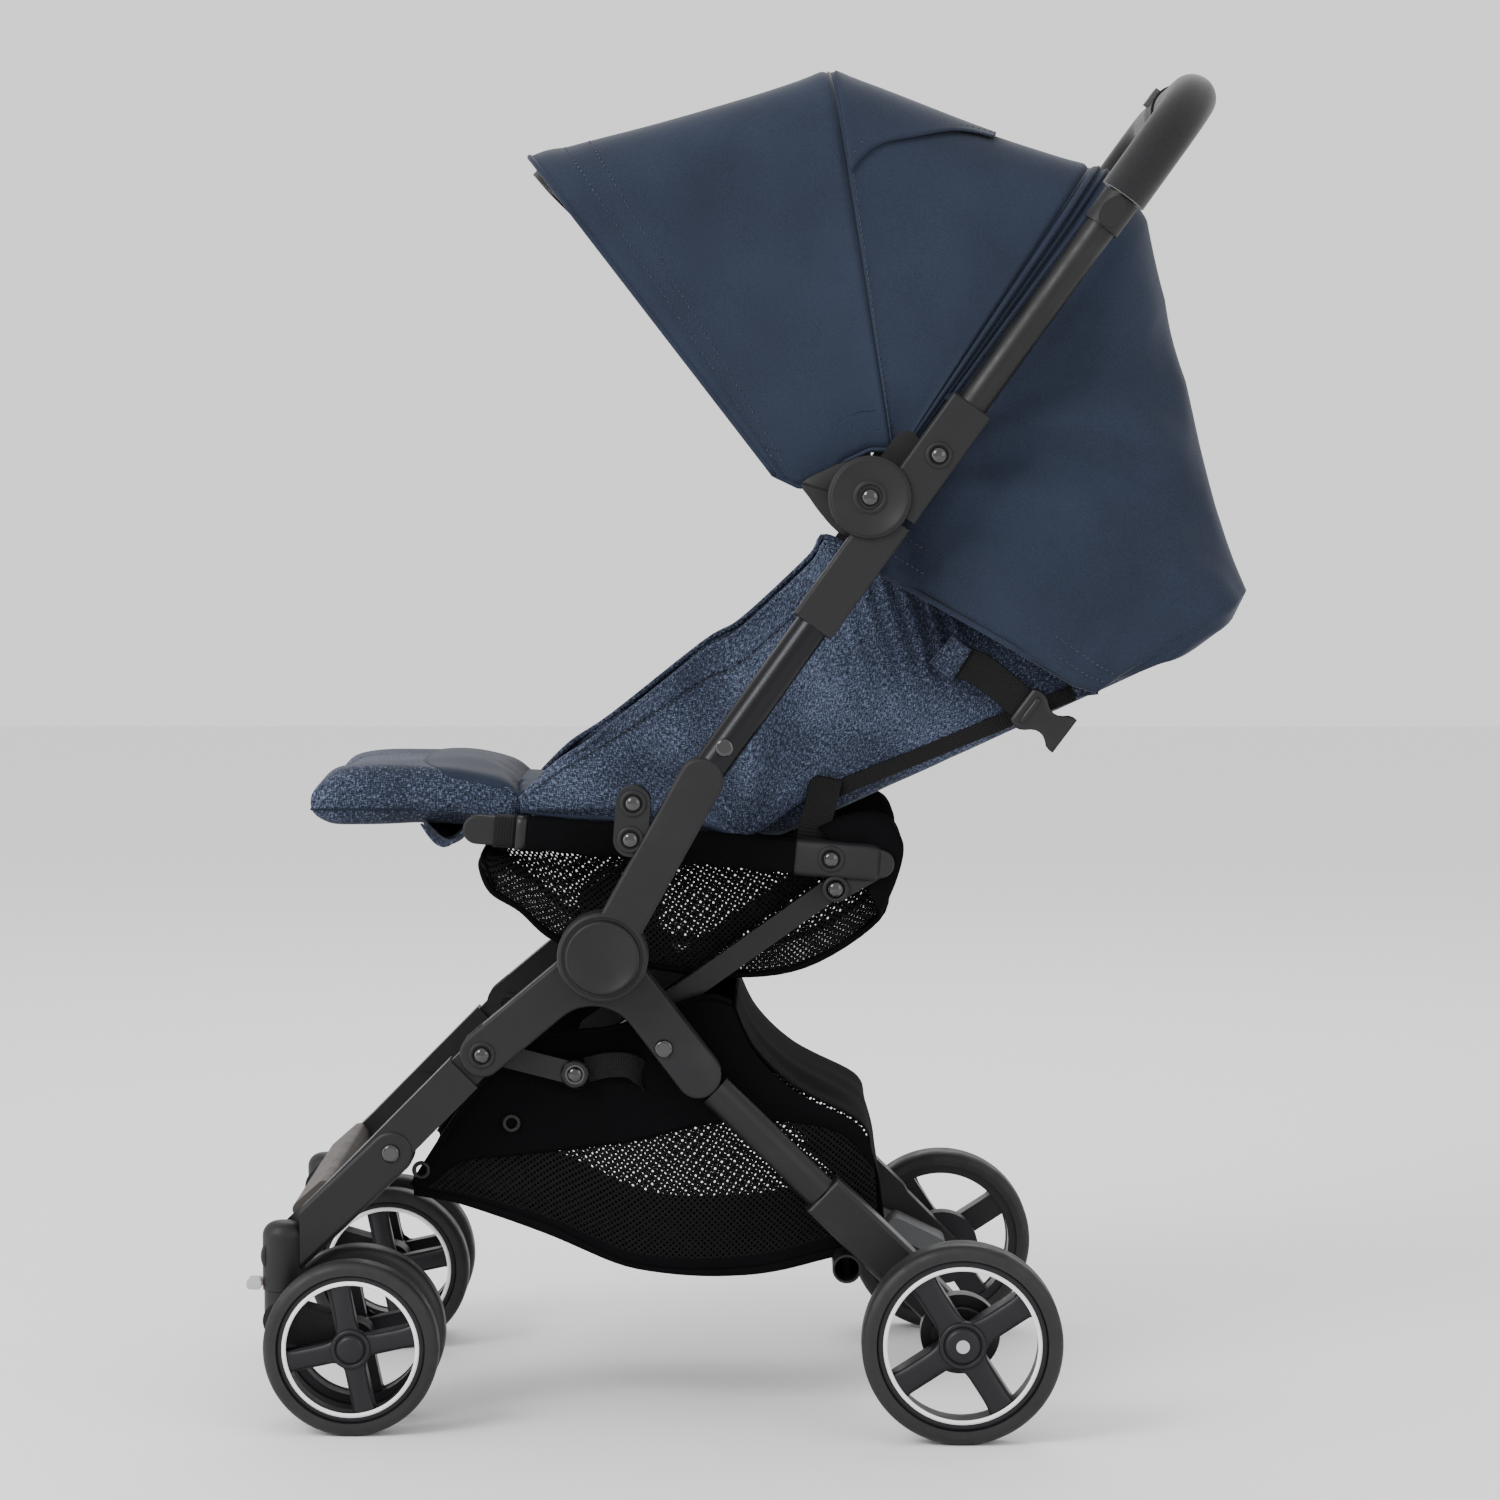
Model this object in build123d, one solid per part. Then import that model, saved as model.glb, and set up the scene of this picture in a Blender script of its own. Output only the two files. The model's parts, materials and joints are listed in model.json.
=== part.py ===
from build123d import *

import os
from math import atan2, cos, degrees, hypot, radians, sin

# Folding baby stroller. Millimetres, +Z up. It faces -X, the handle is at +X,
# and the right-hand side is at -Y. The floor is z = 0.
# Right-hand pieces are modelled, and left-hand ones are their mirror images.

# --- wheels ---
REAR_WHEEL_R = 75.0
REAR_WHEEL_CENTRE = (160.0, 75.0)
REAR_TYRE_DEPTH = 11.0
REAR_HUB_R = 15.0
FRONT_WHEEL_R = 66.0
FRONT_WHEEL_CENTRE = (-297.0, 66.0)
FRONT_TYRE_DEPTH = 10.0
FRONT_HUB_R = 12.3
RIM_DEPTH = 7.0
SPOKE_COUNT = 4
AXLE_R = 5.0
RUNNING_GAP = 0.05

# --- sideways layers, as distances from the middle plane ---
STRUT_LAYER = (115.0, 131.0)
RAIL_LAYER = (134.0, 152.0)
LEG_LAYER = (155.0, 181.0)
FRONT_LEG_LAYER = (160.5, 175.5)
FRONT_LEG_GAP = (160.0, 176.0)
FOOT_PLATE_LAYER = (152.6, 155.2)
PUSH_LAYER = (184.0, 211.0)
KNEE_SPLIT = 197.5
REAR_WHEEL_LAYER = (215.5, 250.0)
COVER_TOP = 215.0
CASTER_Y = 172.0
TWIN_WHEEL_OFFSET = (22.5, 47.5)

# --- frame, seen from the side as (x, z) ---
HUB = (-108.0, 360.0)
HUB_R = 34.0
HUB_CAP_R = 28.0
HUB_PIN_R = 8.0
FRONT_LEG_PIVOT = (-200.0, 283.0)
LEG_WIDTH = 34.0
FORK_GAP_R = 22.0
ARCH_R = 36.0
EYE_WIDTH = 26.0
REAR_TUBE_R = 12.8
TUBE_WALL = 1.8
REAR_ARM_END = (-37.0, 267.0)
REAR_ARM_RIVET = (-63.0, 288.0)
REAR_SLEEVE_START = (56.0, 177.0)
REAR_SLEEVE_END = (114.0, 121.0)
CROSS_BAR = (75.0, 120.0)
CROSS_BAR_R = 11.0
PEDAL_TIP = (153.0, 88.0)
PEDAL_LAYER = (144.0, 154.0)
CASTER_AXIS_X = -351.0
CASTER_HEAD_R = 16.0
CASTER_HEAD_TOP = 156.0
CASTER_JOINT_Z = 104.0
LEG_RIVET = (-269.0, 208.6)
LOCK_TIP_X = -378.6
LOCK_Z = 102.5
FOOT_BRACE = (-330.0, 168.0)

# --- push tubes ---
TUBE_START = (-42.5, 481.0)
TUBE_ANGLE = 54.2
LOWER_TUBE_R = 13.0
LOWER_TUBE_END = 172.0
TUBE_RIVET = (-17.0, 517.0)
KNUCKLE_WIDTH = 34.0
KNUCKLE_START = 155.0
KNEE_ALONG = 258.0
KNEE_FORWARD = 21.6
KNEE_LOBE_R = 28.0
KNEE_KNOB_R = 31.0
KNEE_PIN_R = 6.0
KNUCKLE_END = 358.0
UPPER_TUBE_R = 12.0
HANDLE_COLLAR = (520.0, 546.0)
GRIP_START = 548.0
HANDLE_END = 640.0
HANDLE_CORNER_R = 42.0
GRIP_R = 18.3
BUTTON_HOUSING_HALF = 32.0

# --- seat ---
SEAT_PIVOT = (-87.0, 448.0)
SEAT_PIN_R = 5.0
BRACKET_RIVET = (-85.0, 475.0)
RAIL_FRONT = (-205.0, 451.0)
RAIL_REAR = (100.0, 425.0)
RAIL_HEIGHT = 22.0
STRUT_TOP = (66.5, 406.0)
STRUT_FOOT = (-131.0, 265.5)
STRUT_WIDTH = 17.0
FOOT_PIN_R = 6.0
FOOT_KNOB_R = 11.0
FOOT_GAP = 0.6
PAD_HALF_WIDTH = 126.0
LEGREST_TIP = (-338.0, 470.0)
LEGREST_HINGE = (-181.0, 466.0)
BACKREST_HINGE = (2.0, 456.0)
BACKREST_ANGLE = 24.5
BACKREST_LENGTH = 352.0
PAD_THICKNESS = 24.0

# --- hood ---
BOW_SECTION = (3.5, 9.0)
REAR_BOW = {"angle": 55.0, "reach": 281.0, "half_width": 165.0}
MID_BOW = {"angle": 95.0, "reach": 308.0, "half_width": 160.5}
FRONT_BOW = {"angle": 135.5, "reach": 352.0, "half_width": 156.0}
HOOD_HALF_WIDTH = 169.0
CLOTH = 2.5


def offset_point(start, angle, along, across=0.0):
    """The point at a distance along a direction, and across to its left, in the side view."""
    a = radians(angle)
    x = start[0] + along * cos(a) - across * sin(a)
    z = start[1] + along * sin(a) + across * cos(a)
    return (x, z)


def tube_point(along, across=0.0):
    """A point on the push tube's line, and across from it towards the front."""
    return offset_point(TUBE_START, TUBE_ANGLE, along, across)


def direction(start, end):
    """The angle and distance from one side-view point to another."""
    dx = end[0] - start[0]
    dz = end[1] - start[1]
    return degrees(atan2(dz, dx)), hypot(dx, dz)


KNEE = tube_point(KNEE_ALONG, KNEE_FORWARD)


def side(shape, inner, outer):
    """A flat side-view shape made solid between two distances from the middle, on the right."""
    plane = Plane(origin=(0, -inner, 0), x_dir=(1, 0, 0), z_dir=(0, -1, 0))
    return extrude(plane * shape, amount=outer - inner, dir=(0, -1, 0))


def across(shape, half_width):
    """A flat side-view shape made solid from side to side."""
    return side(shape, -half_width, half_width)


def outline(*points):
    """A straight-sided side-view shape."""
    return Polygon(*points, align=None)


def round_at(point, radius):
    """A disc in the side view."""
    return Pos(*point) * Circle(radius)


def link(start, end, width):
    """A straight bar with round ends in the side view."""
    angle, length = direction(start, end)
    middle = ((start[0] + end[0]) / 2, (start[1] + end[1]) / 2)
    return Pos(*middle) * Rot(0, 0, angle) * SlotCenterToCenter(length, width)


def straight(start, end, width):
    """A straight bar with square ends in the side view."""
    angle, length = direction(start, end)
    middle = ((start[0] + end[0]) / 2, (start[1] + end[1]) / 2)
    return Pos(*middle) * Rot(0, 0, angle) * Rectangle(length, width)


def tube(start, end, y, radius):
    """A round bar between two side-view points at one distance from the middle, on the right."""
    angle, length = direction(start, end)
    a = radians(angle)
    plane = Plane(origin=(start[0], -y, start[1]), z_dir=(cos(a), 0, sin(a)))
    return plane * Cylinder(radius, length, align=(Align.CENTER, Align.CENTER, Align.MIN))


def hollow_tube(start, end, y, radius):
    """A round tube with its real wall thickness."""
    return tube(start, end, y, radius) - tube(start, end, y, radius - TUBE_WALL)


def pin(point, radius, inner, outer):
    """A round pin along Y on the right-hand side."""
    return side(round_at(point, radius), inner, outer)


def soft_rim(solid, radius):
    """Rounds the edges of a moulding's outer face."""
    return fillet(solid.faces().sort_by(Axis.Y)[0].edges(), radius)


def mirrored(solid):
    """The left-hand twin of a right-hand solid."""
    return mirror(solid, about=Plane.XZ)


def rivet(point, outer, radius=7.0, height=3.0):
    """A domed rivet head standing on an outer face."""
    head = pin(point, radius, outer, outer + height)
    return fillet(head.faces().sort_by(Axis.Y)[0].edges(), height * 0.85)


nodes = {}


def add(name, *solids):
    nodes[name] = solids[0] if len(solids) == 1 else Compound(children=list(solids))


def add_pair(name, solid):
    """One piece on each side, in its own node."""
    add("right_" + name, solid)
    add("left_" + name, mirrored(solid))


def add_group(name, *right_solids):
    """Identical small pieces on both sides, sharing a node."""
    add(name, *right_solids, *[mirrored(s) for s in right_solids])


# --- standing frame ---------------------------------------------------------------


def arch_web():
    """The rounded web between the casting's two arms, under the hub."""
    front_angle, _ = direction(HUB, FRONT_LEG_PIVOT)
    rear_angle, _ = direction(HUB, REAR_ARM_END)
    half_angle = (rear_angle - front_angle) / 2
    reach = (LEG_WIDTH / 2 + ARCH_R) / sin(radians(half_angle))
    centre = offset_point(HUB, front_angle + half_angle, reach)
    along = reach * cos(radians(half_angle))
    web = outline(HUB, offset_point(HUB, front_angle, along), centre, offset_point(HUB, rear_angle, along))
    return web - round_at(centre, ARCH_R)


def leg_casting():
    """The inverted V that joins the hub, the front leg and the rear leg."""
    shape = link(HUB, FRONT_LEG_PIVOT, LEG_WIDTH) + link(HUB, REAR_ARM_END, LEG_WIDTH)
    shape += round_at(HUB, HUB_R - 4) + arch_web()
    outer_half = side(shape, *LEG_LAYER)
    fork_gap = side(round_at(FRONT_LEG_PIVOT, FORK_GAP_R), *FRONT_LEG_GAP)
    body = soft_rim(outer_half, 2.5) - fork_gap
    body -= pin(HUB, HUB_PIN_R + RUNNING_GAP, LEG_LAYER[0] - 1, LEG_LAYER[1] + 1)
    body += side(link(FRONT_LEG_PIVOT, STRUT_FOOT, STRUT_WIDTH), *FOOT_PLATE_LAYER)
    return body - pin(FRONT_LEG_PIVOT, AXLE_R + RUNNING_GAP, LEG_LAYER[0] - 5, LEG_LAYER[1] + 1)


def rear_leg():
    """The rear tube, and the moulded sleeve at its foot that carries the wheel."""
    middle = sum(LEG_LAYER) / 2
    angle, _ = direction(REAR_ARM_END, REAR_SLEEVE_START)
    start = offset_point(REAR_ARM_END, angle, LEG_WIDTH / 2 + 0.1)
    leg = hollow_tube(start, REAR_SLEEVE_START, middle, REAR_TUBE_R)
    foot = link(REAR_SLEEVE_END, REAR_WHEEL_CENTRE, 30)
    foot += straight(REAR_SLEEVE_START, REAR_SLEEVE_END, LEG_WIDTH) + round_at(REAR_SLEEVE_END, 17)
    sleeve = soft_rim(side(foot, *LEG_LAYER), 4)
    bore = pin(REAR_WHEEL_CENTRE, AXLE_R, LEG_LAYER[0] - 1, LEG_LAYER[1] + 1)
    boss = pin(CROSS_BAR, CROSS_BAR_R, LEG_LAYER[0] - 10, LEG_LAYER[1] - 4)
    return leg + sleeve - bore - boss


def rear_cross_bar():
    half = LEG_LAYER[1] - 4.2
    ring = round_at(CROSS_BAR, CROSS_BAR_R - 0.1) - round_at(CROSS_BAR, CROSS_BAR_R - TUBE_WALL)
    return across(ring, half)


def brake_drum():
    """The stepped grey drum between the rear leg and its wheel."""
    first = pin(REAR_WHEEL_CENTRE, 30, LEG_LAYER[1] + 0.5, 200)
    second = pin(REAR_WHEEL_CENTRE, 22, 200, REAR_WHEEL_LAYER[0] - 1)
    bore = pin(REAR_WHEEL_CENTRE, AXLE_R + RUNNING_GAP, LEG_LAYER[1], REAR_WHEEL_LAYER[0])
    return first + second - bore


add_pair("leg_casting", leg_casting())
add_pair("rear_leg", rear_leg())
add("rear_cross_bar", rear_cross_bar())
add_group("rear_axles", pin(REAR_WHEEL_CENTRE, AXLE_R - 0.01, LEG_LAYER[0] + 2, REAR_WHEEL_LAYER[1] + 1.5))
add_group("hub_pins", pin(HUB, HUB_PIN_R, LEG_LAYER[0] + 1, PUSH_LAYER[1] - 2))
add_group("brake_drums", brake_drum())
foot_knob = rivet(STRUT_FOOT, FOOT_PLATE_LAYER[1], FOOT_KNOB_R, 4.0)
add_group("frame_rivets", rivet(REAR_ARM_RIVET, LEG_LAYER[1]), foot_knob)

# --- wheels -------------------------------------------------------------------------


def tyre(centre, radius, depth, inner, outer):
    """A soft ring with a rounded tread."""
    ring = side(round_at(centre, radius) - round_at(centre, radius - depth), inner, outer)
    rims = ring.edges().filter_by(GeomType.CIRCLE).sort_by(SortBy.LENGTH)[-2:]
    return fillet(rims, depth * 0.62)


def rim(centre, radius, depth, hub_r, spoke_width, first_spoke, inner, outer):
    """A wheel disc with a hub, four spokes and an outer band."""
    band_r = radius - depth
    inset = 3.0
    shape = round_at(centre, band_r) - round_at(centre, band_r - RIM_DEPTH)
    body = side(shape, inner + inset, outer - inset)
    for k in range(SPOKE_COUNT):
        tip = offset_point(centre, first_spoke + 360 / SPOKE_COUNT * k, band_r - RIM_DEPTH / 2)
        body += side(straight(centre, tip, spoke_width), inner + 2 * inset, outer - 2 * inset)
    body += side(round_at(centre, hub_r), inner, outer - inset)
    return body - pin(centre, AXLE_R + RUNNING_GAP, inner - 1, outer + 1)


def front_wheel_layers():
    """Inner and outer faces of the two wheels of one caster."""
    near, far = TWIN_WHEEL_OFFSET
    return [(CASTER_Y + near, CASTER_Y + far), (CASTER_Y - far, CASTER_Y - near)]


rear_tyre = tyre(REAR_WHEEL_CENTRE, REAR_WHEEL_R, REAR_TYRE_DEPTH, *REAR_WHEEL_LAYER)
rear_rim = rim(REAR_WHEEL_CENTRE, REAR_WHEEL_R, REAR_TYRE_DEPTH, REAR_HUB_R, 19, 33, *REAR_WHEEL_LAYER)
add_pair("rear_tyre", rear_tyre)
add_pair("rear_rim", rear_rim)

front_tyres = []
front_rims = []
for layer in front_wheel_layers():
    front_tyres.append(tyre(FRONT_WHEEL_CENTRE, FRONT_WHEEL_R, FRONT_TYRE_DEPTH, *layer))
    front_rims.append(
        rim(FRONT_WHEEL_CENTRE, FRONT_WHEEL_R, FRONT_TYRE_DEPTH, FRONT_HUB_R, 16, 12, *layer)
    )
add("right_front_tyres", *front_tyres)
add("left_front_tyres", *[mirrored(t) for t in front_tyres])
add("right_front_rims", *front_rims)
add("left_front_rims", *[mirrored(r) for r in front_rims])

# --- front legs and casters --------------------------------------------------------


def front_leg():
    """The front leg: an eye in the casting's fork, a tube section and a moulded lower sleeve."""
    head = (CASTER_AXIS_X, CASTER_HEAD_TOP - 26)
    angle, length = direction(FRONT_LEG_PIVOT, head)
    neck = offset_point(FRONT_LEG_PIVOT, angle, LEG_WIDTH / 2 + 3)
    eye = side(link(FRONT_LEG_PIVOT, neck, EYE_WIDTH), *FRONT_LEG_LAYER)
    leg = side(straight(neck, head, LEG_WIDTH - 4), LEG_LAYER[0] + 1, LEG_LAYER[1] - 1)
    sleeve = soft_rim(side(link(LEG_RIVET, head, LEG_WIDTH), LEG_LAYER[0] - 1, LEG_LAYER[1] + 1), 4)
    keep_clear = side(round_at(FRONT_LEG_PIVOT, LEG_WIDTH / 2 + 1.5), LEG_LAYER[0] - 5, LEG_LAYER[1] + 5)
    keep_clear -= side(round_at(FRONT_LEG_PIVOT, LEG_WIDTH / 2 + 3), *FRONT_LEG_LAYER)
    body = eye + leg + sleeve - keep_clear
    column = Cylinder(CASTER_HEAD_R + 0.3, 90, align=(Align.CENTER, Align.CENTER, Align.MIN))
    body -= Pos(CASTER_AXIS_X, -CASTER_Y, CASTER_JOINT_Z - 20) * column
    return body - pin(FRONT_LEG_PIVOT, AXLE_R + RUNNING_GAP, LEG_LAYER[0], LEG_LAYER[1])


def caster_head():
    """The round head that holds the swivel stem, domed on top."""
    height = CASTER_HEAD_TOP - CASTER_JOINT_Z
    base = Cylinder(CASTER_HEAD_R, height, align=(Align.CENTER, Align.CENTER, Align.MIN))
    head = fillet(base.edges().sort_by(Axis.Z)[-1:], CASTER_HEAD_R * 0.7)
    stem_hole = Cylinder(KNEE_PIN_R + RUNNING_GAP, height - 14, align=(Align.CENTER, Align.CENTER, Align.MIN))
    return Pos(CASTER_AXIS_X, -CASTER_Y, CASTER_JOINT_Z) * (head - stem_hole)


def caster_fork():
    """The swivelling carrier between the twin wheels, with its stem and axle."""
    half = TWIN_WHEEL_OFFSET[0] - 1.0
    top_z = CASTER_JOINT_Z - 0.4
    body = side(link((CASTER_AXIS_X, top_z - 22), FRONT_WHEEL_CENTRE, 30), CASTER_Y - 13, CASTER_Y + 13)
    collar = Cylinder(CASTER_HEAD_R - 1, 26, align=(Align.CENTER, Align.CENTER, Align.MAX))
    stem = Cylinder(KNEE_PIN_R, 60, align=(Align.CENTER, Align.CENTER, Align.MAX))
    body += Pos(CASTER_AXIS_X, -CASTER_Y, top_z) * collar
    body += Pos(CASTER_AXIS_X, -CASTER_Y, top_z + 36) * stem
    body += pin(FRONT_WHEEL_CENTRE, 9, CASTER_Y - half, CASTER_Y + half)
    reach = TWIN_WHEEL_OFFSET[1] - 1.5
    return body + pin(FRONT_WHEEL_CENTRE, AXLE_R, CASTER_Y - reach, CASTER_Y + reach)


def swivel_lock():
    """The small translucent lever at the front of the caster head."""
    back = CASTER_AXIS_X - CASTER_HEAD_R - 0.5
    lever = Box(abs(LOCK_TIP_X - back), 15, 8, align=(Align.MAX, Align.CENTER, Align.CENTER))
    lever = fillet(lever.edges().filter_by(Axis.Y), 2.5)
    return Pos(back, -CASTER_Y, LOCK_Z + 6) * lever


def front_brace():
    """The cross-piece between the front legs, just above the casters."""
    angle, _ = direction(FRONT_LEG_PIVOT, FOOT_BRACE)
    shape = Pos(*FOOT_BRACE) * Rot(0, 0, angle) * RectangleRounded(36, 16, 6)
    return across(shape, LEG_LAYER[0] - 1.2)


add_pair("front_leg", front_leg())
add_group("caster_heads", caster_head())
add("front_brace", front_brace())
add_group("leg_pins", pin(FRONT_LEG_PIVOT, AXLE_R, LEG_LAYER[0] + 1, LEG_LAYER[1] - 1))
add_group("leg_rivets", rivet(LEG_RIVET, LEG_LAYER[1] + 1))
add_pair("caster_fork", caster_fork())
add_pair("swivel_lock", swivel_lock())

# --- folding push frame -------------------------------------------------------------


def hub_housing():
    """The moulding from the hub up to the lower push tube, with the seat rail's bracket."""
    top = tube_point(14)
    shape = round_at(HUB, HUB_R) + link(HUB, top, LEG_WIDTH)
    body = soft_rim(side(shape, *PUSH_LAYER), 3)
    body -= pin(HUB, HUB_CAP_R + 0.1, PUSH_LAYER[1] - 2, PUSH_LAYER[1] + 1)
    lug = side(link(SEAT_PIVOT, BRACKET_RIVET, 26), PUSH_LAYER[0], PUSH_LAYER[1] - 4)
    body = body + lug
    body -= pin(HUB, HUB_PIN_R + RUNNING_GAP, PUSH_LAYER[0] - 1, PUSH_LAYER[1])
    end = tube(tube_point(-4), tube_point(40), sum(PUSH_LAYER) / 2, LOWER_TUBE_R)
    return body - end + pin(SEAT_PIVOT, SEAT_PIN_R, RAIL_LAYER[0] + 1, PUSH_LAYER[0] + 4)


def lower_knuckle():
    """The lower half of the knee, with its lobe on the inside."""
    body = side(straight(tube_point(KNUCKLE_START), tube_point(KNEE_ALONG - 2), KNUCKLE_WIDTH), *PUSH_LAYER)
    body = soft_rim(body, 3)
    body += side(round_at(KNEE, KNEE_LOBE_R), PUSH_LAYER[0], KNEE_SPLIT - 0.2)
    body -= side(round_at(KNEE, KNEE_LOBE_R + 0.5), KNEE_SPLIT - 0.2, PUSH_LAYER[1] + 1)
    body -= tube(tube_point(KNUCKLE_START - 1), tube_point(LOWER_TUBE_END), KNEE_SPLIT, LOWER_TUBE_R)
    return body - pin(KNEE, KNEE_PIN_R + RUNNING_GAP, PUSH_LAYER[0] - 1, PUSH_LAYER[1] + 1)


def upper_knuckle():
    """The upper half of the knee, with its lobe on the outside."""
    body = side(straight(tube_point(KNEE_ALONG + 2), tube_point(KNUCKLE_END), KNUCKLE_WIDTH), *PUSH_LAYER)
    body = soft_rim(body, 3)
    body += side(round_at(KNEE, KNEE_LOBE_R), KNEE_SPLIT + 0.2, PUSH_LAYER[1])
    body -= side(round_at(KNEE, KNEE_LOBE_R + 0.5), PUSH_LAYER[0] - 1, KNEE_SPLIT + 0.2)
    body -= tube(tube_point(KNUCKLE_END - 60), tube_point(KNUCKLE_END + 1), KNEE_SPLIT, UPPER_TUBE_R)
    return body - pin(KNEE, KNEE_PIN_R + RUNNING_GAP, PUSH_LAYER[0] - 1, PUSH_LAYER[1] + 1)


def knee_pin():
    """The hinge pin with the large round knob outside."""
    knob = pin(KNEE, KNEE_KNOB_R, PUSH_LAYER[1] + 0.3, COVER_TOP)
    knob = fillet(knob.faces().sort_by(Axis.Y)[0].edges(), 2)
    return knob + pin(KNEE, KNEE_PIN_R, FRONT_BOW["half_width"] - 6, PUSH_LAYER[1] + 1)


def handle_path(start):
    """The handle's line: up one arm, across with round corners, and down the other."""
    arm_y = sum(PUSH_LAYER) / 2
    low = tube_point(start)
    top = tube_point(HANDLE_END)
    points = [(low[0], -arm_y, low[1]), (top[0], -arm_y, top[1])]
    points += [(x, -y, z) for x, y, z in reversed(points)]
    return FilletPolyline(*points, radius=HANDLE_CORNER_R)


def swept_round(path, radius):
    """A round bar along a line."""
    return sweep((path ^ 0) * Circle(radius), path=path)


def button_housing_space(radius, half):
    """A cylinder around the middle of the handle's cross-piece."""
    return across(round_at(tube_point(HANDLE_END), radius), half)


def handle_grip():
    """The foam sleeves on both sides of the button housing."""
    path = handle_path(GRIP_START)
    foam = swept_round(path, GRIP_R) - swept_round(handle_path(GRIP_START - 20), UPPER_TUBE_R)
    return foam - button_housing_space(GRIP_R + 10, BUTTON_HOUSING_HALF + 0.1)


def fold_button_slot(length, width, low, high):
    """A block standing on the front of the handle's cross-piece."""
    block = Box(high - low, 2 * length, width, align=(Align.MIN, Align.CENTER, Align.CENTER))
    centre = tube_point(HANDLE_END)
    turned = Rot(0, -(TUBE_ANGLE + 90), 0) * (Pos(low, 0, 0) * block)
    return Pos(centre[0], 0, centre[1]) * turned


def button_housing():
    """The moulded sleeve in the middle of the handle, with a slot for the fold button."""
    body = button_housing_space(GRIP_R + 2, BUTTON_HOUSING_HALF)
    body -= button_housing_space(UPPER_TUBE_R, BUTTON_HOUSING_HALF + 1)
    return body - fold_button_slot(18.5, 14.0, UPPER_TUBE_R, GRIP_R + 8)


def handle_collar():
    """The joint cover between the upper push tube and the handle."""
    start, end = HANDLE_COLLAR
    body = tube(tube_point(start), tube_point(end), KNEE_SPLIT, UPPER_TUBE_R + 2.5)
    body -= tube(tube_point(start - 1), tube_point(end + 1), KNEE_SPLIT, UPPER_TUBE_R)
    middle = (start + end) / 2
    seal = Pos(*tube_point(middle)) * Rot(0, 0, TUBE_ANGLE) * Ellipse(12.5, 8.5)
    return body + side(seal, KNEE_SPLIT + UPPER_TUBE_R + 0.5, KNEE_SPLIT + UPPER_TUBE_R + 3.5)


add_pair("hub_housing", hub_housing())
add_pair("lower_tube", hollow_tube(tube_point(0), tube_point(LOWER_TUBE_END), KNEE_SPLIT, LOWER_TUBE_R))
add_pair("lower_knuckle", lower_knuckle())
hub_cap = fillet(pin(HUB, HUB_CAP_R, PUSH_LAYER[1] - 2, COVER_TOP).faces().sort_by(Axis.Y)[0].edges(), 2.5)
add_group("hub_caps", hub_cap)
add_group("knee_pins", knee_pin())
add_group("tube_rivets", rivet(TUBE_RIVET, KNEE_SPLIT + LOWER_TUBE_R))
add_pair("upper_knuckle", upper_knuckle())
handle_line = handle_path(KNUCKLE_END - 58)
handle_bore = swept_round(handle_line, UPPER_TUBE_R - TUBE_WALL)
add("handle_tube", swept_round(handle_line, UPPER_TUBE_R - 0.05) - handle_bore)
add("grips", *handle_grip().solids())
add_group("handle_collars", handle_collar())
add("button_housing", button_housing())
add("fold_button", fold_button_slot(17.9, 13.2, UPPER_TUBE_R + 4.0, GRIP_R + 5))

# --- brake --------------------------------------------------------------------------


def brake_pedal():
    """The foot lever beside the left rear leg, on the cross bar."""
    inner, outer = PEDAL_LAYER
    lever = side(link(CROSS_BAR, PEDAL_TIP, 15) + round_at(CROSS_BAR, CROSS_BAR_R + 5), inner, outer)
    middle = ((CROSS_BAR[0] + PEDAL_TIP[0]) / 2 + 6, (CROSS_BAR[1] + PEDAL_TIP[1]) / 2)
    lever += side(link(middle, PEDAL_TIP, 15), inner - 34, outer)
    lever -= pin(CROSS_BAR, CROSS_BAR_R - 0.1 + RUNNING_GAP, inner - 1, outer + 1)
    return mirrored(lever)


add("brake_pedal", brake_pedal())

# --- seat ---------------------------------------------------------------------------


def seat_rail():
    """The side rail that carries the seat cloth."""
    body = soft_rim(side(link(RAIL_FRONT, RAIL_REAR, RAIL_HEIGHT), *RAIL_LAYER), 2)
    body += side(link(RAIL_REAR, STRUT_TOP, STRUT_WIDTH + 3), RAIL_LAYER[0], RAIL_LAYER[1] - 2)
    body += side(round_at(SEAT_PIVOT, 13), *RAIL_LAYER)
    body -= pin(SEAT_PIVOT, SEAT_PIN_R + RUNNING_GAP, RAIL_LAYER[0] - 1, RAIL_LAYER[1] + 1)
    return body + pin(STRUT_TOP, AXLE_R, STRUT_LAYER[0] + 1, RAIL_LAYER[0] + 2)


def seat_strut():
    """The square strut from the seat rail down to the leg casting."""
    body = side(link(STRUT_TOP, STRUT_FOOT, STRUT_WIDTH), *STRUT_LAYER)
    body -= pin(STRUT_TOP, AXLE_R + RUNNING_GAP, STRUT_LAYER[0] - 1, STRUT_LAYER[1] + 1)
    return body + pin(STRUT_FOOT, FOOT_PIN_R, STRUT_LAYER[1] - 1, FOOT_PLATE_LAYER[0] - FOOT_GAP)


def seat_pad():
    """The padded seat between the rails."""
    front = (LEGREST_HINGE[0] + PAD_THICKNESS / 2 + 0.8, LEGREST_HINGE[1] - 14)
    rear = (BACKREST_HINGE[0] - 14, BACKREST_HINGE[1] - 10)
    shape = outline(front, rear, (rear[0], rear[1] + PAD_THICKNESS), (front[0], front[1] + PAD_THICKNESS))
    return across(shape, PAD_HALF_WIDTH)


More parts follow.
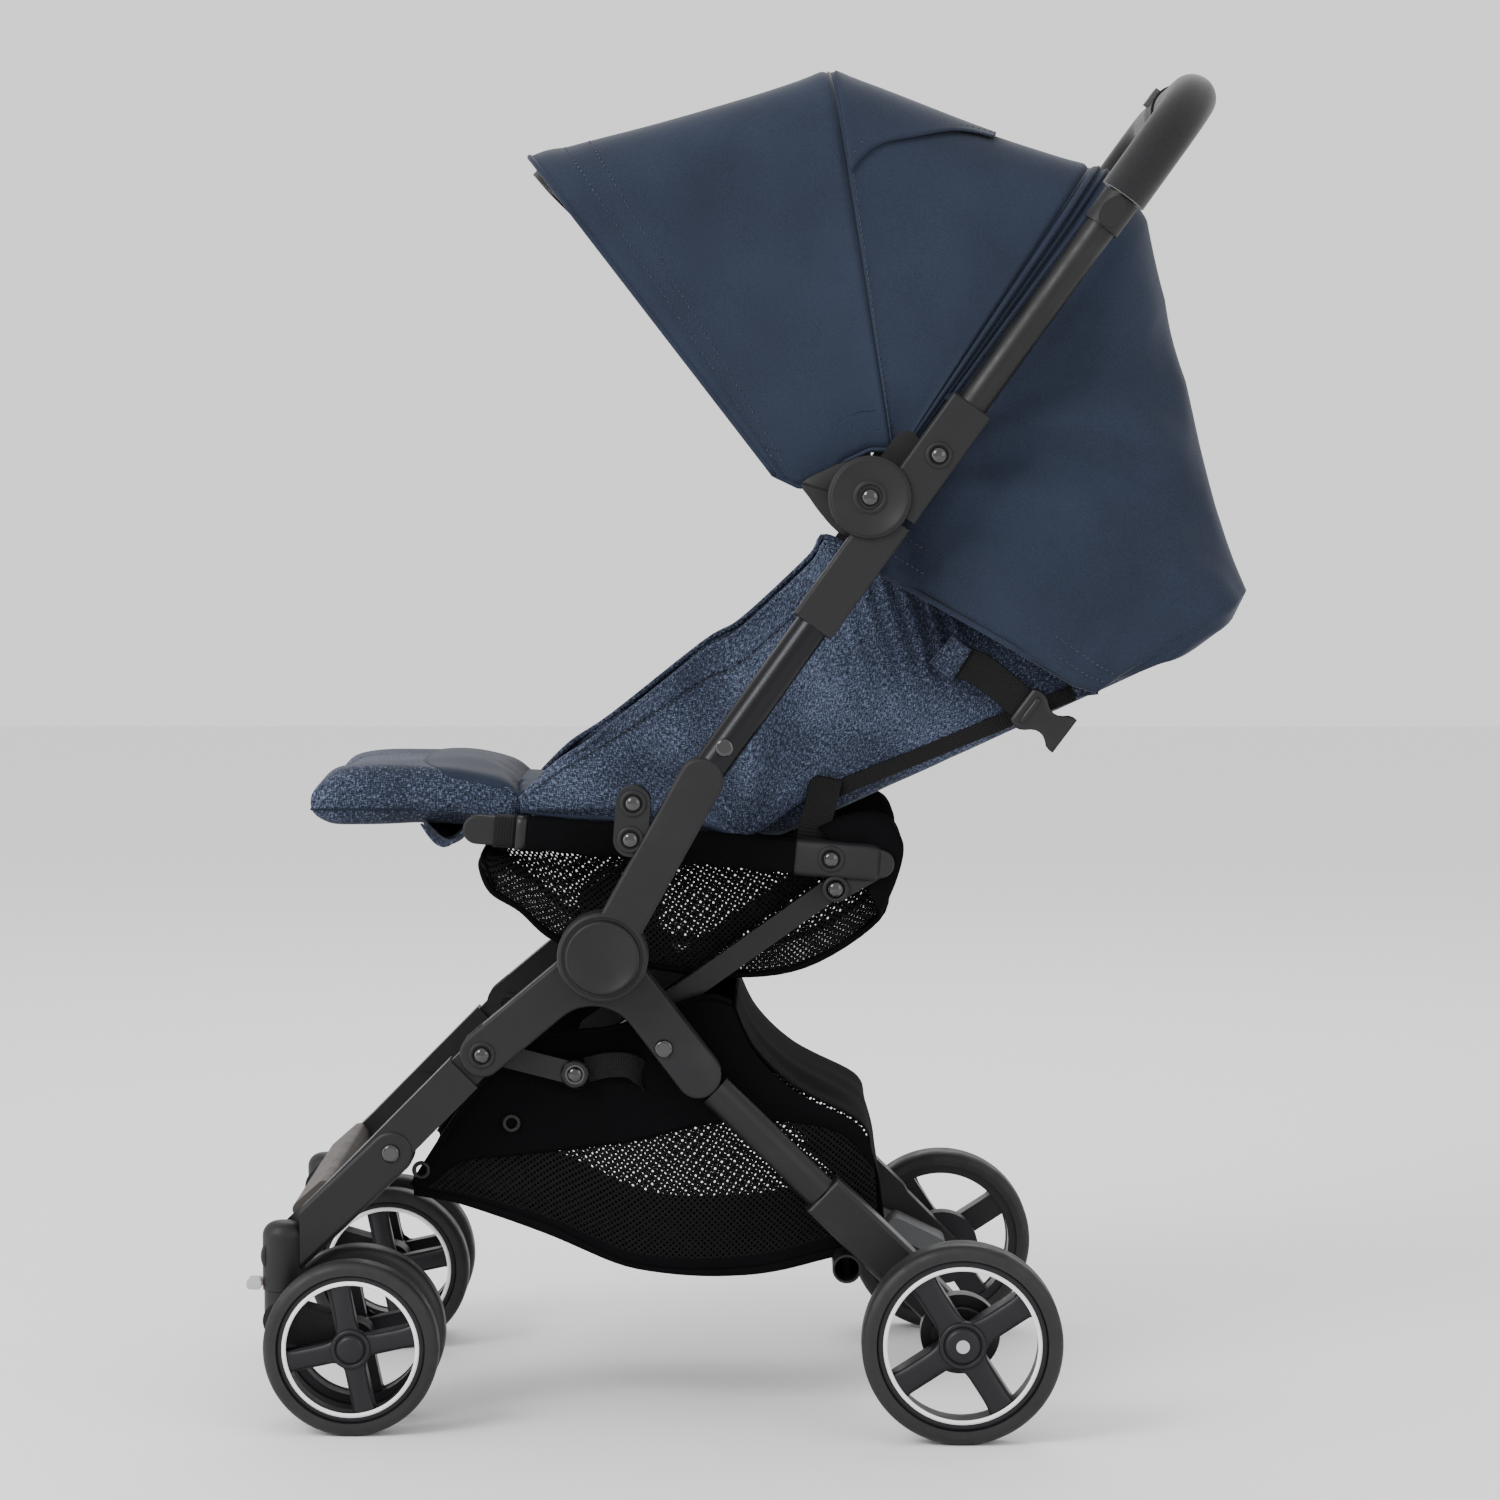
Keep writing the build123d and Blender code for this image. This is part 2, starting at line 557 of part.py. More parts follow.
def backrest_pad():
    """The padded backrest, lying back."""
    end = offset_point(BACKREST_HINGE, BACKREST_ANGLE, BACKREST_LENGTH - PAD_THICKNESS / 2)
    return across(link(BACKREST_HINGE, end, PAD_THICKNESS), PAD_HALF_WIDTH)


def legrest_pad():
    """The padded legrest, held out in front."""
    angle, length = direction(LEGREST_HINGE, LEGREST_TIP)
    end = offset_point(LEGREST_HINGE, angle, length - PAD_THICKNESS / 2)
    return across(link(LEGREST_HINGE, end, PAD_THICKNESS), PAD_HALF_WIDTH)


def side_wing():
    """The raised cloth side between the seat and the hood."""
    lower = [(-171, 466), (-60, 466), (20, 470), (100, 508), (150, 545)]
    upper = [(120, 600), (48, 652), (-6, 601), (-90, 530), (-171, 478)]
    return side(outline(*lower, *upper), PAD_HALF_WIDTH + 2.5, PAD_HALF_WIDTH + 5.5)


def mesh_pocket():
    """The net pocket slung under the seat, open at the back."""
    half = STRUT_LAYER[0] - 3
    front = [(-197, 428), (-192, 400), (-172, 382), (-145, 362)]
    floor = [(-80, 346), (-20, 338), (50, 352), (100, 386)]
    outer = outline((-197, 436), *front, *floor, (100, 400), (100, 436))
    hollow = outline((-195, 440), (-194, 428), (-189, 402), (-170, 385), (-143, 365), (-79, 349), (-20, 341),
                     (49, 355), (104, 388), (104, 440))
    return across(outer, half) - across(hollow, half - CLOTH)


def basket():
    """The shopping basket under the seat, open at the top."""
    half = RAIL_LAYER[0] + 8
    front = [(-224, 204), (-217, 163), (-150, 133), (-80, 117), (-6, 109)]
    rear = [(40, 114), (56, 134), (100, 138), (102, 172), (85, 210), (-6, 262)]
    outer = outline(*front, *rear, (-60, 250), (-154, 236))
    hollow = outline((-221, 210), (-214, 165), (-149, 136), (-79, 120), (-6, 112), (39, 117), (54, 137),
                     (97, 141), (99, 171), (83, 208), (-6, 270), (-60, 275), (-154, 262))
    return across(outer, half) - across(hollow, half - CLOTH)


add_pair("seat_rail", seat_rail())
add_group("seat_struts", seat_strut())
add("seat_pad", seat_pad())
add("backrest_pad", backrest_pad())
add("legrest_pad", legrest_pad())
add_group("side_wings", side_wing())
add("mesh_pocket", mesh_pocket())
add("basket", basket())

# --- hood ---------------------------------------------------------------------------


def hood_bow(angle, reach, half_width, eye_outer):
    """A flat strip bent into a U, turning about the knee pin."""
    thick, wide = BOW_SECTION
    a = radians(angle)
    corner = 46.0
    plane = Plane(origin=(KNEE[0], 0, KNEE[1]), x_dir=(0, 1, 0), z_dir=(sin(a), 0, -cos(a)))
    turn = 1 if plane.y_dir.dot(Vector(cos(a), 0, sin(a))) > 0 else -1
    centre = turn * (reach / 2 - corner)
    outer = Pos(0, centre) * RectangleRounded(2 * half_width, reach + 2 * corner, corner)
    inner_half = half_width - thick
    inner = Pos(0, centre) * RectangleRounded(2 * inner_half, reach + 2 * corner - 2 * thick, corner - thick)
    keep = Pos(0, turn * (reach / 2 + corner)) * Rectangle(2 * half_width + 2, reach + 2 * corner)
    strip = extrude(plane * ((outer - inner) & keep), amount=wide / 2, both=True)
    eyes = pin(KNEE, 11, inner_half, eye_outer) + mirrored(pin(KNEE, 11, inner_half, eye_outer))
    bore = across(round_at(KNEE, KNEE_PIN_R + RUNNING_GAP), HOOD_HALF_WIDTH + 20)
    return strip + eyes - bore


def hood_carrier():
    """The hinge plate between the knee and the hood bows."""
    start = offset_point(KNEE, REAR_BOW["angle"], 0)
    end = offset_point(KNEE, REAR_BOW["angle"], 48)
    body = side(round_at(KNEE, 22) + link(start, end, 20), HOOD_HALF_WIDTH + 1, PUSH_LAYER[0] - 0.5)
    return body - pin(KNEE, KNEE_PIN_R + RUNNING_GAP, HOOD_HALF_WIDTH, PUSH_LAYER[0])


def towards_knee(point, distance):
    """The point moved in towards the knee."""
    angle, _ = direction(point, KNEE)
    return offset_point(point, angle, distance)


def cloth_cover(crown, corner_points):
    """A hood section: a strip over the top and two flat sides."""
    top = outline(*crown, *[towards_knee(p, CLOTH + 1) for p in reversed(crown)])
    sides = outline(*crown, *corner_points)
    panel = side(sides, HOOD_HALF_WIDTH - CLOTH, HOOD_HALF_WIDTH)
    panel -= pin(KNEE, 26, HOOD_HALF_WIDTH - 10, HOOD_HALF_WIDTH + 10)
    return across(top, HOOD_HALF_WIDTH) + panel + mirrored(panel)


HOOD_TOP = (57, 1021)
HOOD_SEAM_FOOT = (88, 731)
front_crown = [(-166, 957), (-100, 974), (-20, 996), (HOOD_TOP[0] - 4, HOOD_TOP[1])]
front_cloth = cloth_cover(front_crown, [(HOOD_SEAM_FOOT[0] - 4, HOOD_SEAM_FOOT[1]), (41, 712), (20, 720)])
rear_crown = [(HOOD_TOP[0] + 4, 1018), (100, 1008), (188, 968), (255, 947), (295, 911), (325, 790),
              (349, 700), (378.6, 634)]
rear_foot = [(358, 621), (340, 599), (263, 557), (227, 560), (189, 596), (99, 647), (92, 690),
             (HOOD_SEAM_FOOT[0] + 4, HOOD_SEAM_FOOT[1])]
add("hood_front_cloth", front_cloth)
add("hood_rear_cloth", cloth_cover(rear_crown, rear_foot))
add_group("hood_carriers", hood_carrier())
add("rear_bow", hood_bow(**REAR_BOW, eye_outer=HOOD_HALF_WIDTH + 0.9))
add("mid_bow", hood_bow(**MID_BOW, eye_outer=MID_BOW["half_width"]))
add("front_bow", hood_bow(**FRONT_BOW, eye_outer=FRONT_BOW["half_width"]))

os.makedirs("parts", exist_ok=True)
for name, shape in nodes.items():
    export_step(shape, f"parts/{name}.step")
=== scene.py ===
import json
import math

import bmesh
import bpy
from mathutils import Matrix, Vector, noise


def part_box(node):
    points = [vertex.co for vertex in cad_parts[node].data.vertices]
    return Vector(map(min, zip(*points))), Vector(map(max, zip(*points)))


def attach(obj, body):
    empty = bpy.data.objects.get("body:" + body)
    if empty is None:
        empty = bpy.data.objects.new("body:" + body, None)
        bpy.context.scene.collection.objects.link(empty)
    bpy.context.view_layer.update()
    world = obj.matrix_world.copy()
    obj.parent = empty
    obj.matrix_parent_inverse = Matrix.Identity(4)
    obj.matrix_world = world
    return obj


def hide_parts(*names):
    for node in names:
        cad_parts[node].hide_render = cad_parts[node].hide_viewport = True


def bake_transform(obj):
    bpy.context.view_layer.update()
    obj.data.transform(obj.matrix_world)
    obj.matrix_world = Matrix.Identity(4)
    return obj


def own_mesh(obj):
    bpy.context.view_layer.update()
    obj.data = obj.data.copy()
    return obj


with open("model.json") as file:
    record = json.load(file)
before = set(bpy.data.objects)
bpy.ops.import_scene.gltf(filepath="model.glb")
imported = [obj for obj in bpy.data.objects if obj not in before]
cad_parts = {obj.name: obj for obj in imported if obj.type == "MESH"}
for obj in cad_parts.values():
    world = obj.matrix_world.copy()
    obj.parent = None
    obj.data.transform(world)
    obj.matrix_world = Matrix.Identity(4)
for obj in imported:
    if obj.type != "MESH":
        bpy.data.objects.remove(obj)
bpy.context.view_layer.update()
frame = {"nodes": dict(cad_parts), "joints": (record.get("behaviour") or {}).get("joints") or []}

MM = 0.001
joints = {j["name"]: j for j in frame["joints"]}


def pivot(joint):
    """A joint's place in the side view, in millimetres: (x, z)."""
    x, _, z = joints[joint]["pos_m"]
    return (x / MM, z / MM)


HUB = pivot("fold")
KNEE = pivot("fold_handle")
SEAT_PIVOT = pivot("fold_seat")
LEG_PIVOT = pivot("fold_front_legs")
STRUT_TOP = pivot("fold_struts")
BACK_HINGE = pivot("backrest_recline")
LEGREST_HINGE = pivot("legrest_tilt")
REAR_AXLE = pivot("rear_wheel_spin_right")
FRONT_AXLE = pivot("front_wheel_spin_right")


def near(anchor, dx, dz):
    """A side-view point beside an anchor, in millimetres."""
    return (anchor[0] + dx, anchor[1] + dz)


STRUT_FOOT = near(STRUT_TOP, -197.5, -140.5)


def place(point, y):
    """A side-view point in millimetres as a point in metres."""
    return Vector((point[0] * MM, y * MM, point[1] * MM))


def mix(a, b, t):
    return tuple(p + (q - p) * t for p, q in zip(a, b))


def along_points(points, t):
    """The point at a share t of a list of side-view points, by length."""
    runs = [math.dist(points[k], points[k + 1]) for k in range(len(points) - 1)]
    want = t * sum(runs)
    for k, run in enumerate(runs):
        if want <= run or k == len(runs) - 1:
            return mix(points[k], points[k + 1], want / run if run else 0)
        want -= run


def smooth_points(points, steps):
    """A smooth line through side-view or space points (Catmull-Rom)."""
    out = []
    n = len(points)
    for k in range(n - 1):
        p0, p1, p2, p3 = (points[max(0, min(n - 1, k + d))] for d in (-1, 0, 1, 2))
        for s in range(steps):
            t = s / steps
            out.append(tuple(
                0.5 * (2 * b + (c - a) * t + (2 * a - 5 * b + 4 * c - d) * t**2
                       + (3 * b - a - 3 * c + d) * t**3)
                for a, b, c, d in zip(p0, p1, p2, p3)
            ))
    out.append(tuple(points[-1]))
    return out


# --- materials ----------------------------------------------------------------------


class Shader:
    """A node material with a few short ways to add to it."""

    def __init__(self, name, color, roughness, **sockets):
        self.material = bpy.data.materials.new(name)
        self.material.use_nodes = True
        self.tree = self.material.node_tree
        self.bsdf = self.tree.nodes["Principled BSDF"]
        self.bsdf.inputs["Base Color"].default_value = (*color, 1)
        self.bsdf.inputs["Roughness"].default_value = roughness
        for key, value in sockets.items():
            self.bsdf.inputs[key.replace("_", " ")].default_value = value
        self.height = None

    def node(self, kind, **values):
        made = self.tree.nodes.new(kind)
        for key, value in values.items():
            if key in made.inputs:
                made.inputs[key].default_value = value
            else:
                setattr(made, key, value)
        return made

    def link(self, a, b):
        self.tree.links.new(a, b)

    def coords(self, uv=False, scale=(1, 1, 1), turn=0.0):
        source = self.node("ShaderNodeTexCoord")
        mapping = self.node("ShaderNodeMapping")
        mapping.inputs["Scale"].default_value = scale
        mapping.inputs["Rotation"].default_value = (0, 0, turn)
        self.link(source.outputs["UV" if uv else "Object"], mapping.inputs["Vector"])
        return mapping.outputs["Vector"]

    def noise(self, scale, detail=3, vector=None, rough=0.5):
        made = self.node("ShaderNodeTexNoise", Scale=scale, Detail=detail, Roughness=rough)
        self.link(vector or self.coords(), made.inputs["Vector"])
        return made.outputs["Fac"]

    def wave(self, vector, scale, direction="X", distortion=0.0):
        made = self.node("ShaderNodeTexWave", Scale=scale, Distortion=distortion)
        made.bands_direction = direction
        self.link(vector, made.inputs["Vector"])
        return made.outputs["Fac"]

    def math(self, operation, a, b=None):
        made = self.node("ShaderNodeMath", operation=operation)
        for value, socket in ((a, made.inputs[0]), (b, made.inputs[1])):
            if value is None:
                continue
            if isinstance(value, (int, float)):
                socket.default_value = value
            else:
                self.link(value, socket)
        return made.outputs[0]

    def ramp(self, fac, stops):
        made = self.node("ShaderNodeValToRGB")
        elements = made.color_ramp.elements
        while len(elements) < len(stops):
            elements.new(0.5)
        for element, (position, value) in zip(elements, stops):
            element.position = position
            element.color = (*value, 1) if hasattr(value, "__len__") else (value, value, value, 1)
        self.link(fac, made.inputs["Fac"])
        return made.outputs["Color"]

    def color(self, socket):
        self.link(socket, self.bsdf.inputs["Base Color"])

    def rough(self, fac, low, high):
        self.link(self.ramp(fac, [(0.3, low), (0.7, high)]), self.bsdf.inputs["Roughness"])

    def bump(self, height, strength, distance):
        made = self.node("ShaderNodeBump", Strength=strength, Distance=distance)
        self.link(height, made.inputs["Height"])
        if self.height:
            self.link(self.height, made.inputs["Normal"])
        self.height = made.outputs["Normal"]
        self.link(self.height, self.bsdf.inputs["Normal"])


def moulding(name, color, roughness=0.5, grain=1800, strength=0.25, specular=0.3):
    """Moulded plastic or powder coat: fine grain, slight unevenness and worn, lighter patches."""
    s = Shader(name, color, roughness)
    s.bsdf.inputs["Specular IOR Level"].default_value = specular
    patches = s.noise(14, 4)
    worn = [min(1, c * 1.35 + 0.004) for c in color]
    s.color(s.ramp(patches, [(0.35, [c * 0.86 for c in color]), (0.62, color), (0.8, worn)]))
    s.rough(s.noise(60, 3), roughness - 0.06, roughness + 0.07)
    s.bump(s.noise(grain, 2), strength, 0.00012)
    return s.material


def plain_weave(name, color, thread, sheen=0.35, contrast=0.25, roughness=0.82, specular=0.12):
    """Fine woven cloth: crossing threads, soft colour drift and a slight nap. thread is its pitch in mm."""
    s = Shader(name, color, roughness)
    s.bsdf.inputs["Sheen Weight"].default_value = sheen
    s.bsdf.inputs["Sheen Roughness"].default_value = 0.45
    s.bsdf.inputs["Specular IOR Level"].default_value = specular
    uv = s.coords(uv=True)
    pitch = 1 / (thread * MM) / (2 * math.pi) * math.pi / 10 * 2
    warp = s.wave(uv, pitch, "X", 0.4)
    weft = s.wave(uv, pitch, "Y", 0.4)
    crossing = s.math("MAXIMUM", warp, weft)
    drift = s.noise(9, 4)
    speck = s.noise(900, 2)
    tone = s.math("ADD", s.math("MULTIPLY", drift, 0.55), s.math("MULTIPLY", speck, 0.45))
    dark = [c * (1 - contrast) for c in color]
    light = [min(1, c * (1 + contrast)) for c in color]
    s.color(s.ramp(tone, [(0.3, dark), (0.7, light)]))
    s.bump(crossing, 0.35, 0.0002)
    s.bump(s.noise(420, 3), 0.2, 0.0003)
    return s.material


def melange(name, dark, middle, light, sheen=0.25):
    """Heather cloth: short light and dark yarn flecks in two directions over a plain weave."""
    s = Shader(name, middle, 0.88)
    s.bsdf.inputs["Sheen Weight"].default_value = sheen
    s.bsdf.inputs["Specular IOR Level"].default_value = 0.2
    across = s.noise(1, 3, s.coords(uv=True, scale=(1100, 300, 1)), 0.65)
    down = s.noise(1, 3, s.coords(uv=True, scale=(300, 1100, 1)), 0.65)
    flecks = s.math("ADD", s.math("MULTIPLY", across, 0.5), s.math("MULTIPLY", down, 0.5))
    tone = s.math("ADD", s.math("MULTIPLY", flecks, 0.85), s.math("MULTIPLY", s.noise(12, 3), 0.15))
    s.color(s.ramp(tone, [(0.42, dark), (0.51, middle), (0.60, light)]))
    s.bump(flecks, 0.5, 0.0004)
    s.bump(s.noise(60, 3), 0.12, 0.001)
    return s.material


def net(name, color, pitch, opening=0.5, turn=45):
    """Open 3D net: rounded holes between black threads, in staggered rows."""
    s = Shader(name, color, 0.8)
    s.bsdf.inputs["Specular IOR Level"].default_value = 0.12
    k = 1 / (pitch * MM) * 2 * math.pi / 20
    a = s.wave(s.coords(uv=True, turn=math.radians(turn)), k, "X")
    b = s.wave(s.coords(uv=True, turn=math.radians(turn)), k, "Y")
    cell = s.math("MULTIPLY", a, b)
    solid = s.math("LESS_THAN", cell, opening)
    s.link(solid, s.bsdf.inputs["Alpha"])
    s.bump(cell, 0.8, -0.0012)
    s.color(s.ramp(s.noise(200, 2), [(0.3, [c * 0.7 for c in color]), (0.7, [c * 1.4 for c in color])]))
    return s.material


def webbing(name, color):
    """Polyester webbing: tight ribs across the band."""
    s = Shader(name, color, 0.7)
    s.bsdf.inputs["Specular IOR Level"].default_value = 0.2
    ribs = s.wave(s.coords(uv=True), 1 / (2.2 * MM) * 2 * math.pi / 20, "X", 0.2)
    cross = s.wave(s.coords(uv=True), 1 / (1.9 * MM) * 2 * math.pi / 20, "Y", 0.3)
    both = s.math("MULTIPLY", ribs, cross)
    # The colour follows the rib height: painted shade in the grooves and painted highlight on the rib tops.
    s.color(s.ramp(both, [(0.0, [c * 0.5 for c in color]), (0.8, [c * 1.6 for c in color])]))
    s.bump(both, 0.9, 0.0006)
    return s.material


def rubber(name, color):
    """Tyre: dull, slightly dusty on the tread, with fine moulding lines."""
    s = Shader(name, color, 0.6)
    s.bsdf.inputs["Specular IOR Level"].default_value = 0.4
    dust = s.noise(30, 5, rough=0.6)
    s.color(s.ramp(dust, [(0.35, color), (0.85, [c * 1.5 + 0.003 for c in color])]))
    s.rough(s.noise(80, 3), 0.48, 0.68)
    s.bump(s.noise(1400, 2), 0.2, 0.0001)
    return s.material


def foam(name, color):
    """Closed-cell foam: fine pores and a soft dull surface."""
    s = Shader(name, color, 0.86)
    s.bsdf.inputs["Sheen Weight"].default_value = 0.3
    s.bsdf.inputs["Specular IOR Level"].default_value = 0.25
    pores = s.node("ShaderNodeTexVoronoi", Scale=900.0)
    s.link(s.coords(), pores.inputs["Vector"])
    s.bump(pores.outputs["Distance"], 0.4, 0.0003)
    s.color(s.ramp(s.noise(500, 2), [(0.3, [c * 0.8 for c in color]), (0.7, [c * 1.25 for c in color])]))
    return s.material


def steel(name, color, roughness=0.35):
    """Brushed metal with a slight grain along the bar."""
    s = Shader(name, color, roughness, Metallic=1.0)
    lines = s.noise(1, 3, s.coords(scale=(80, 2500, 2500)))
    s.rough(lines, roughness - 0.08, roughness + 0.1)
    s.bump(lines, 0.1, 0.0001)
    return s.material


def clear_grey(name):
    """Translucent grey plastic of the swivel locks."""
    s = Shader(name, (0.55, 0.56, 0.57), 0.35)
    s.bsdf.inputs["Transmission Weight"].default_value = 0.45
    s.bsdf.inputs["Subsurface Weight"].default_value = 0.2
    s.bump(s.noise(300, 2), 0.05, 0.0002)
    return s.material


NET_BLACK = (0.003, 0.003, 0.0035)
NET_PITCH = 3.4
CLOTH_BLACK = (0.0035, 0.0035, 0.004)

M = {
    "frame": moulding("powder_coat_black", (0.006, 0.006, 0.007), 0.44, 2200, 0.3),
    "moulding": moulding("moulded_black", (0.007, 0.007, 0.008), 0.52, 1400, 0.3),
    "cap": moulding("cap_black", (0.006, 0.006, 0.007), 0.42, 900, 0.1),
    "gloss": moulding("polished_black", (0.006, 0.006, 0.007), 0.10, 300, 0.02, 0.8),
    "wheel": moulding("wheel_moulding", (0.006, 0.006, 0.008), 0.42, 1600, 0.15),
    "brace": moulding("footrest_moulding", (0.06, 0.05, 0.045), 0.6, 700, 0.4),
    "grey": moulding("grey_moulding", (0.075, 0.077, 0.08), 0.5, 900, 0.2),
    "buckle": moulding("buckle_black", (0.008, 0.008, 0.009), 0.4, 900, 0.15),
    "ring": moulding("white_ring", (0.86, 0.86, 0.88), 0.35, 900, 0.05),
    "locks": clear_grey("translucent_grey"),
    "steel": steel("pin_steel", (0.5, 0.5, 0.52)),
    "gunmetal": steel("gunmetal", (0.022, 0.022, 0.024), 0.3),
    "tyre": rubber("tyre_rubber", (0.005, 0.005, 0.0055)),
    "foam": foam("grip_foam", (0.007, 0.007, 0.008)),
    "navy": plain_weave("hood_navy_weave", (0.0165, 0.0222, 0.0385), 0.8, sheen=0.1, contrast=0.35),
    "navy_dark": plain_weave("hood_lining", (0.008, 0.012, 0.022), 0.5, sheen=0.08),
    "heather": melange("heather_blue", (0.004, 0.0055, 0.012), (0.018, 0.0235, 0.043),
                       (0.12, 0.15, 0.225), sheen=0.06),
    "black_cloth": plain_weave("black_cloth", CLOTH_BLACK, 0.6, sheen=0.0, contrast=0.2, specular=0.02),
    "net": net("black_net", NET_BLACK, NET_PITCH, 0.42),
    "net_far": net("black_net_turned", NET_BLACK, NET_PITCH, 0.42, 17),
    "webbing": webbing("black_webbing", CLOTH_BLACK),
    "thread_navy": plain_weave("thread_navy", (0.006, 0.009, 0.018), 0.3),
}

# --- building helpers -----------------------------------------------------------------


def new_object(name, mesh, material):
    obj = bpy.data.objects.new(name, mesh)
    bpy.context.scene.collection.objects.link(obj)
    mesh.materials.append(material)
    for polygon in mesh.polygons:
        polygon.use_smooth = True
    return obj


def grid(name, rows, material, close=False):
    """A smooth sheet through rows of points, with UVs in metres along both ways."""
    mesh = bpy.data.meshes.new(name)
    n, m = len(rows), len(rows[0])
    verts = [p for row in rows for p in row]
    last = m if close else m - 1
    faces = [
        (i * m + j, i * m + (j + 1) % m, (i + 1) * m + (j + 1) % m, (i + 1) * m + j)
        for i in range(n - 1) for j in range(last)
    ]
    mesh.from_pydata([tuple(v) for v in verts], [], faces)
    middle = m // 2
    u = [0.0]
    for i in range(1, n):
        u.append(u[-1] + (Vector(rows[i][middle]) - Vector(rows[i - 1][middle])).length)
    v = []
    for row in rows:
        line = [0.0]
        for j in range(1, m + 1):
            line.append(line[-1] + (Vector(row[j % m]) - Vector(row[j - 1])).length)
        v.append(line)
    layer = mesh.uv_layers.new(name="metres")
    for polygon in mesh.polygons:
        i, j = divmod(polygon.index, last)
        corners = ((i, j), (i, j + 1), (i + 1, j + 1), (i + 1, j))
        for loop, (a, b) in zip(polygon.loop_indices, corners):
            layer.data[loop].uv = (u[a], v[a][b])
    return new_object(name, mesh, material)


def modifier(obj, kind, **values):
    made = obj.modifiers.new(kind.lower(), kind)
    for key, value in values.items():
        setattr(made, key, value)
    return made


def apply_modifiers(obj):
    """Turns an object's modifiers into its mesh."""
    graph = bpy.context.evaluated_depsgraph_get()
    mesh = bpy.data.meshes.new_from_object(obj.evaluated_get(graph))
    obj.modifiers.clear()
    obj.data = mesh
    return obj


def thicken(obj, thickness):
    """Gives a sheet its thickness, in mm, with soft edges."""
    modifier(obj, "SOLIDIFY", thickness=thickness * MM, offset=0.0, use_even_offset=False)
    return apply_modifiers(obj)


def flip(obj):
    obj.data.flip_normals()
    return obj


def rod(name, points, radius, material, sides=12, closed=False):
    """A round cord or pipe through space points, in metres, with a radius in mm."""
    pts = [Vector(p) for p in points]
    rows = []
    up = Vector((0.13, 0.97, 0.21)).normalized()
    n = len(pts)
    for k, p in enumerate(pts):
        before = pts[(k - 1) % n] if closed else pts[max(0, k - 1)]
        after = pts[(k + 1) % n] if closed else pts[min(n - 1, k + 1)]
        tangent = (after - before).normalized()
        side = tangent.cross(up)
        if side.length < 1e-4:
            side = tangent.cross(Vector((1, 0, 0)))
        side.normalize()
        up = side.cross(tangent).normalized()
        r = radius * MM
        ring = []
        for s in range(sides):
            a = 2 * math.pi * s / sides
            ring.append(p + side * (r * math.cos(a)) + up * (r * math.sin(a)))
        rows.append(ring)
    if closed:
        rows.append(rows[0])
    obj = grid(name, rows, material, close=True)
    if not closed:
        cap_ends(obj, len(rows), sides)
    return obj


def cap_ends(obj, rings, sides):
    bm = bmesh.new()
    bm.from_mesh(obj.data)
    bm.verts.ensure_lookup_table()
    bm.faces.new([bm.verts[k] for k in range(sides)][::-1])
    bm.faces.new([bm.verts[(rings - 1) * sides + k] for k in range(sides)])
    bm.to_mesh(obj.data)
    bm.free()


def strap(name, points, width, thickness, material, across=(0, 1, 0), widths=None):
    """A flat band with rounded edges along space points; width and thickness in mm."""
    pts = [Vector(p) for p in points]
    wide = Vector(across).normalized()
    rows = []
    for k, p in enumerate(pts):
        tangent = (pts[min(len(pts) - 1, k + 1)] - pts[max(0, k - 1)]).normalized()
        side = (wide - tangent * wide.dot(tangent)).normalized()
        normal = tangent.cross(side).normalized()
        w = (widths[k] if widths else width) / 2 * MM
        h = thickness / 2 * MM
        ring = []
        for a, b in ((-1, -0.4), (-0.97, -0.9), (-0.9, -1), (-0.45, -1.04), (0, -1.05), (0.45, -1.04),
                     (0.9, -1), (0.97, -0.9), (1, -0.4), (1, 0.4), (0.97, 0.9), (0.9, 1), (0.45, 1.04),
                     (0, 1.05), (-0.45, 1.04), (-0.9, 1), (-0.97, 0.9), (-1, 0.4)):
            ring.append(p + side * (w * a) + normal * (h * b))
        rows.append(ring)
    obj = grid(name, rows, material, close=True)
    cap_ends(obj, len(rows), len(rows[0]))
    return obj


def stitches(name, points, material, length=3.0, gap=1.6, thick=0.45, lift=0.25):
    """A row of sewn stitches along space points: small raised lozenges, sizes in mm."""
    bm = bmesh.new()
    pts = [Vector(p) for p in points]
    runs = [(pts[k + 1] - pts[k]).length for k in range(len(pts) - 1)]
    total = sum(runs)

    def at(distance):
        for k, run in enumerate(runs):
            if distance <= run or k == len(runs) - 1:
                return pts[k].lerp(pts[k + 1], distance / run if run else 0)
            distance -= run

    step = (length + gap) * MM
    for k in range(int(total / step)):
        a = at(k * step)
        b = at(k * step + length * MM)
        axis = b - a
        if axis.length < 1e-6:
            continue
        axis.normalize()
        side = axis.cross(Vector((0.3, 1, 0.2))).normalized()
        up = side.cross(axis).normalized()
        middle = (a + b) / 2
        ring = [
            middle + side * thick * MM, middle + up * thick * MM,
            middle - side * thick * MM, middle - up * thick * MM,
        ]
        tips = [bm.verts.new(a), bm.verts.new(b)]
        around = [bm.verts.new(p) for p in ring]
        for q in range(4):
            bm.faces.new((tips[0], around[(q + 1) % 4], around[q]))
            bm.faces.new((tips[1], around[q], around[(q + 1) % 4]))
    mesh = bpy.data.meshes.new(name)
    bm.to_mesh(mesh)
    bm.free()
    return new_object(name, mesh, material)


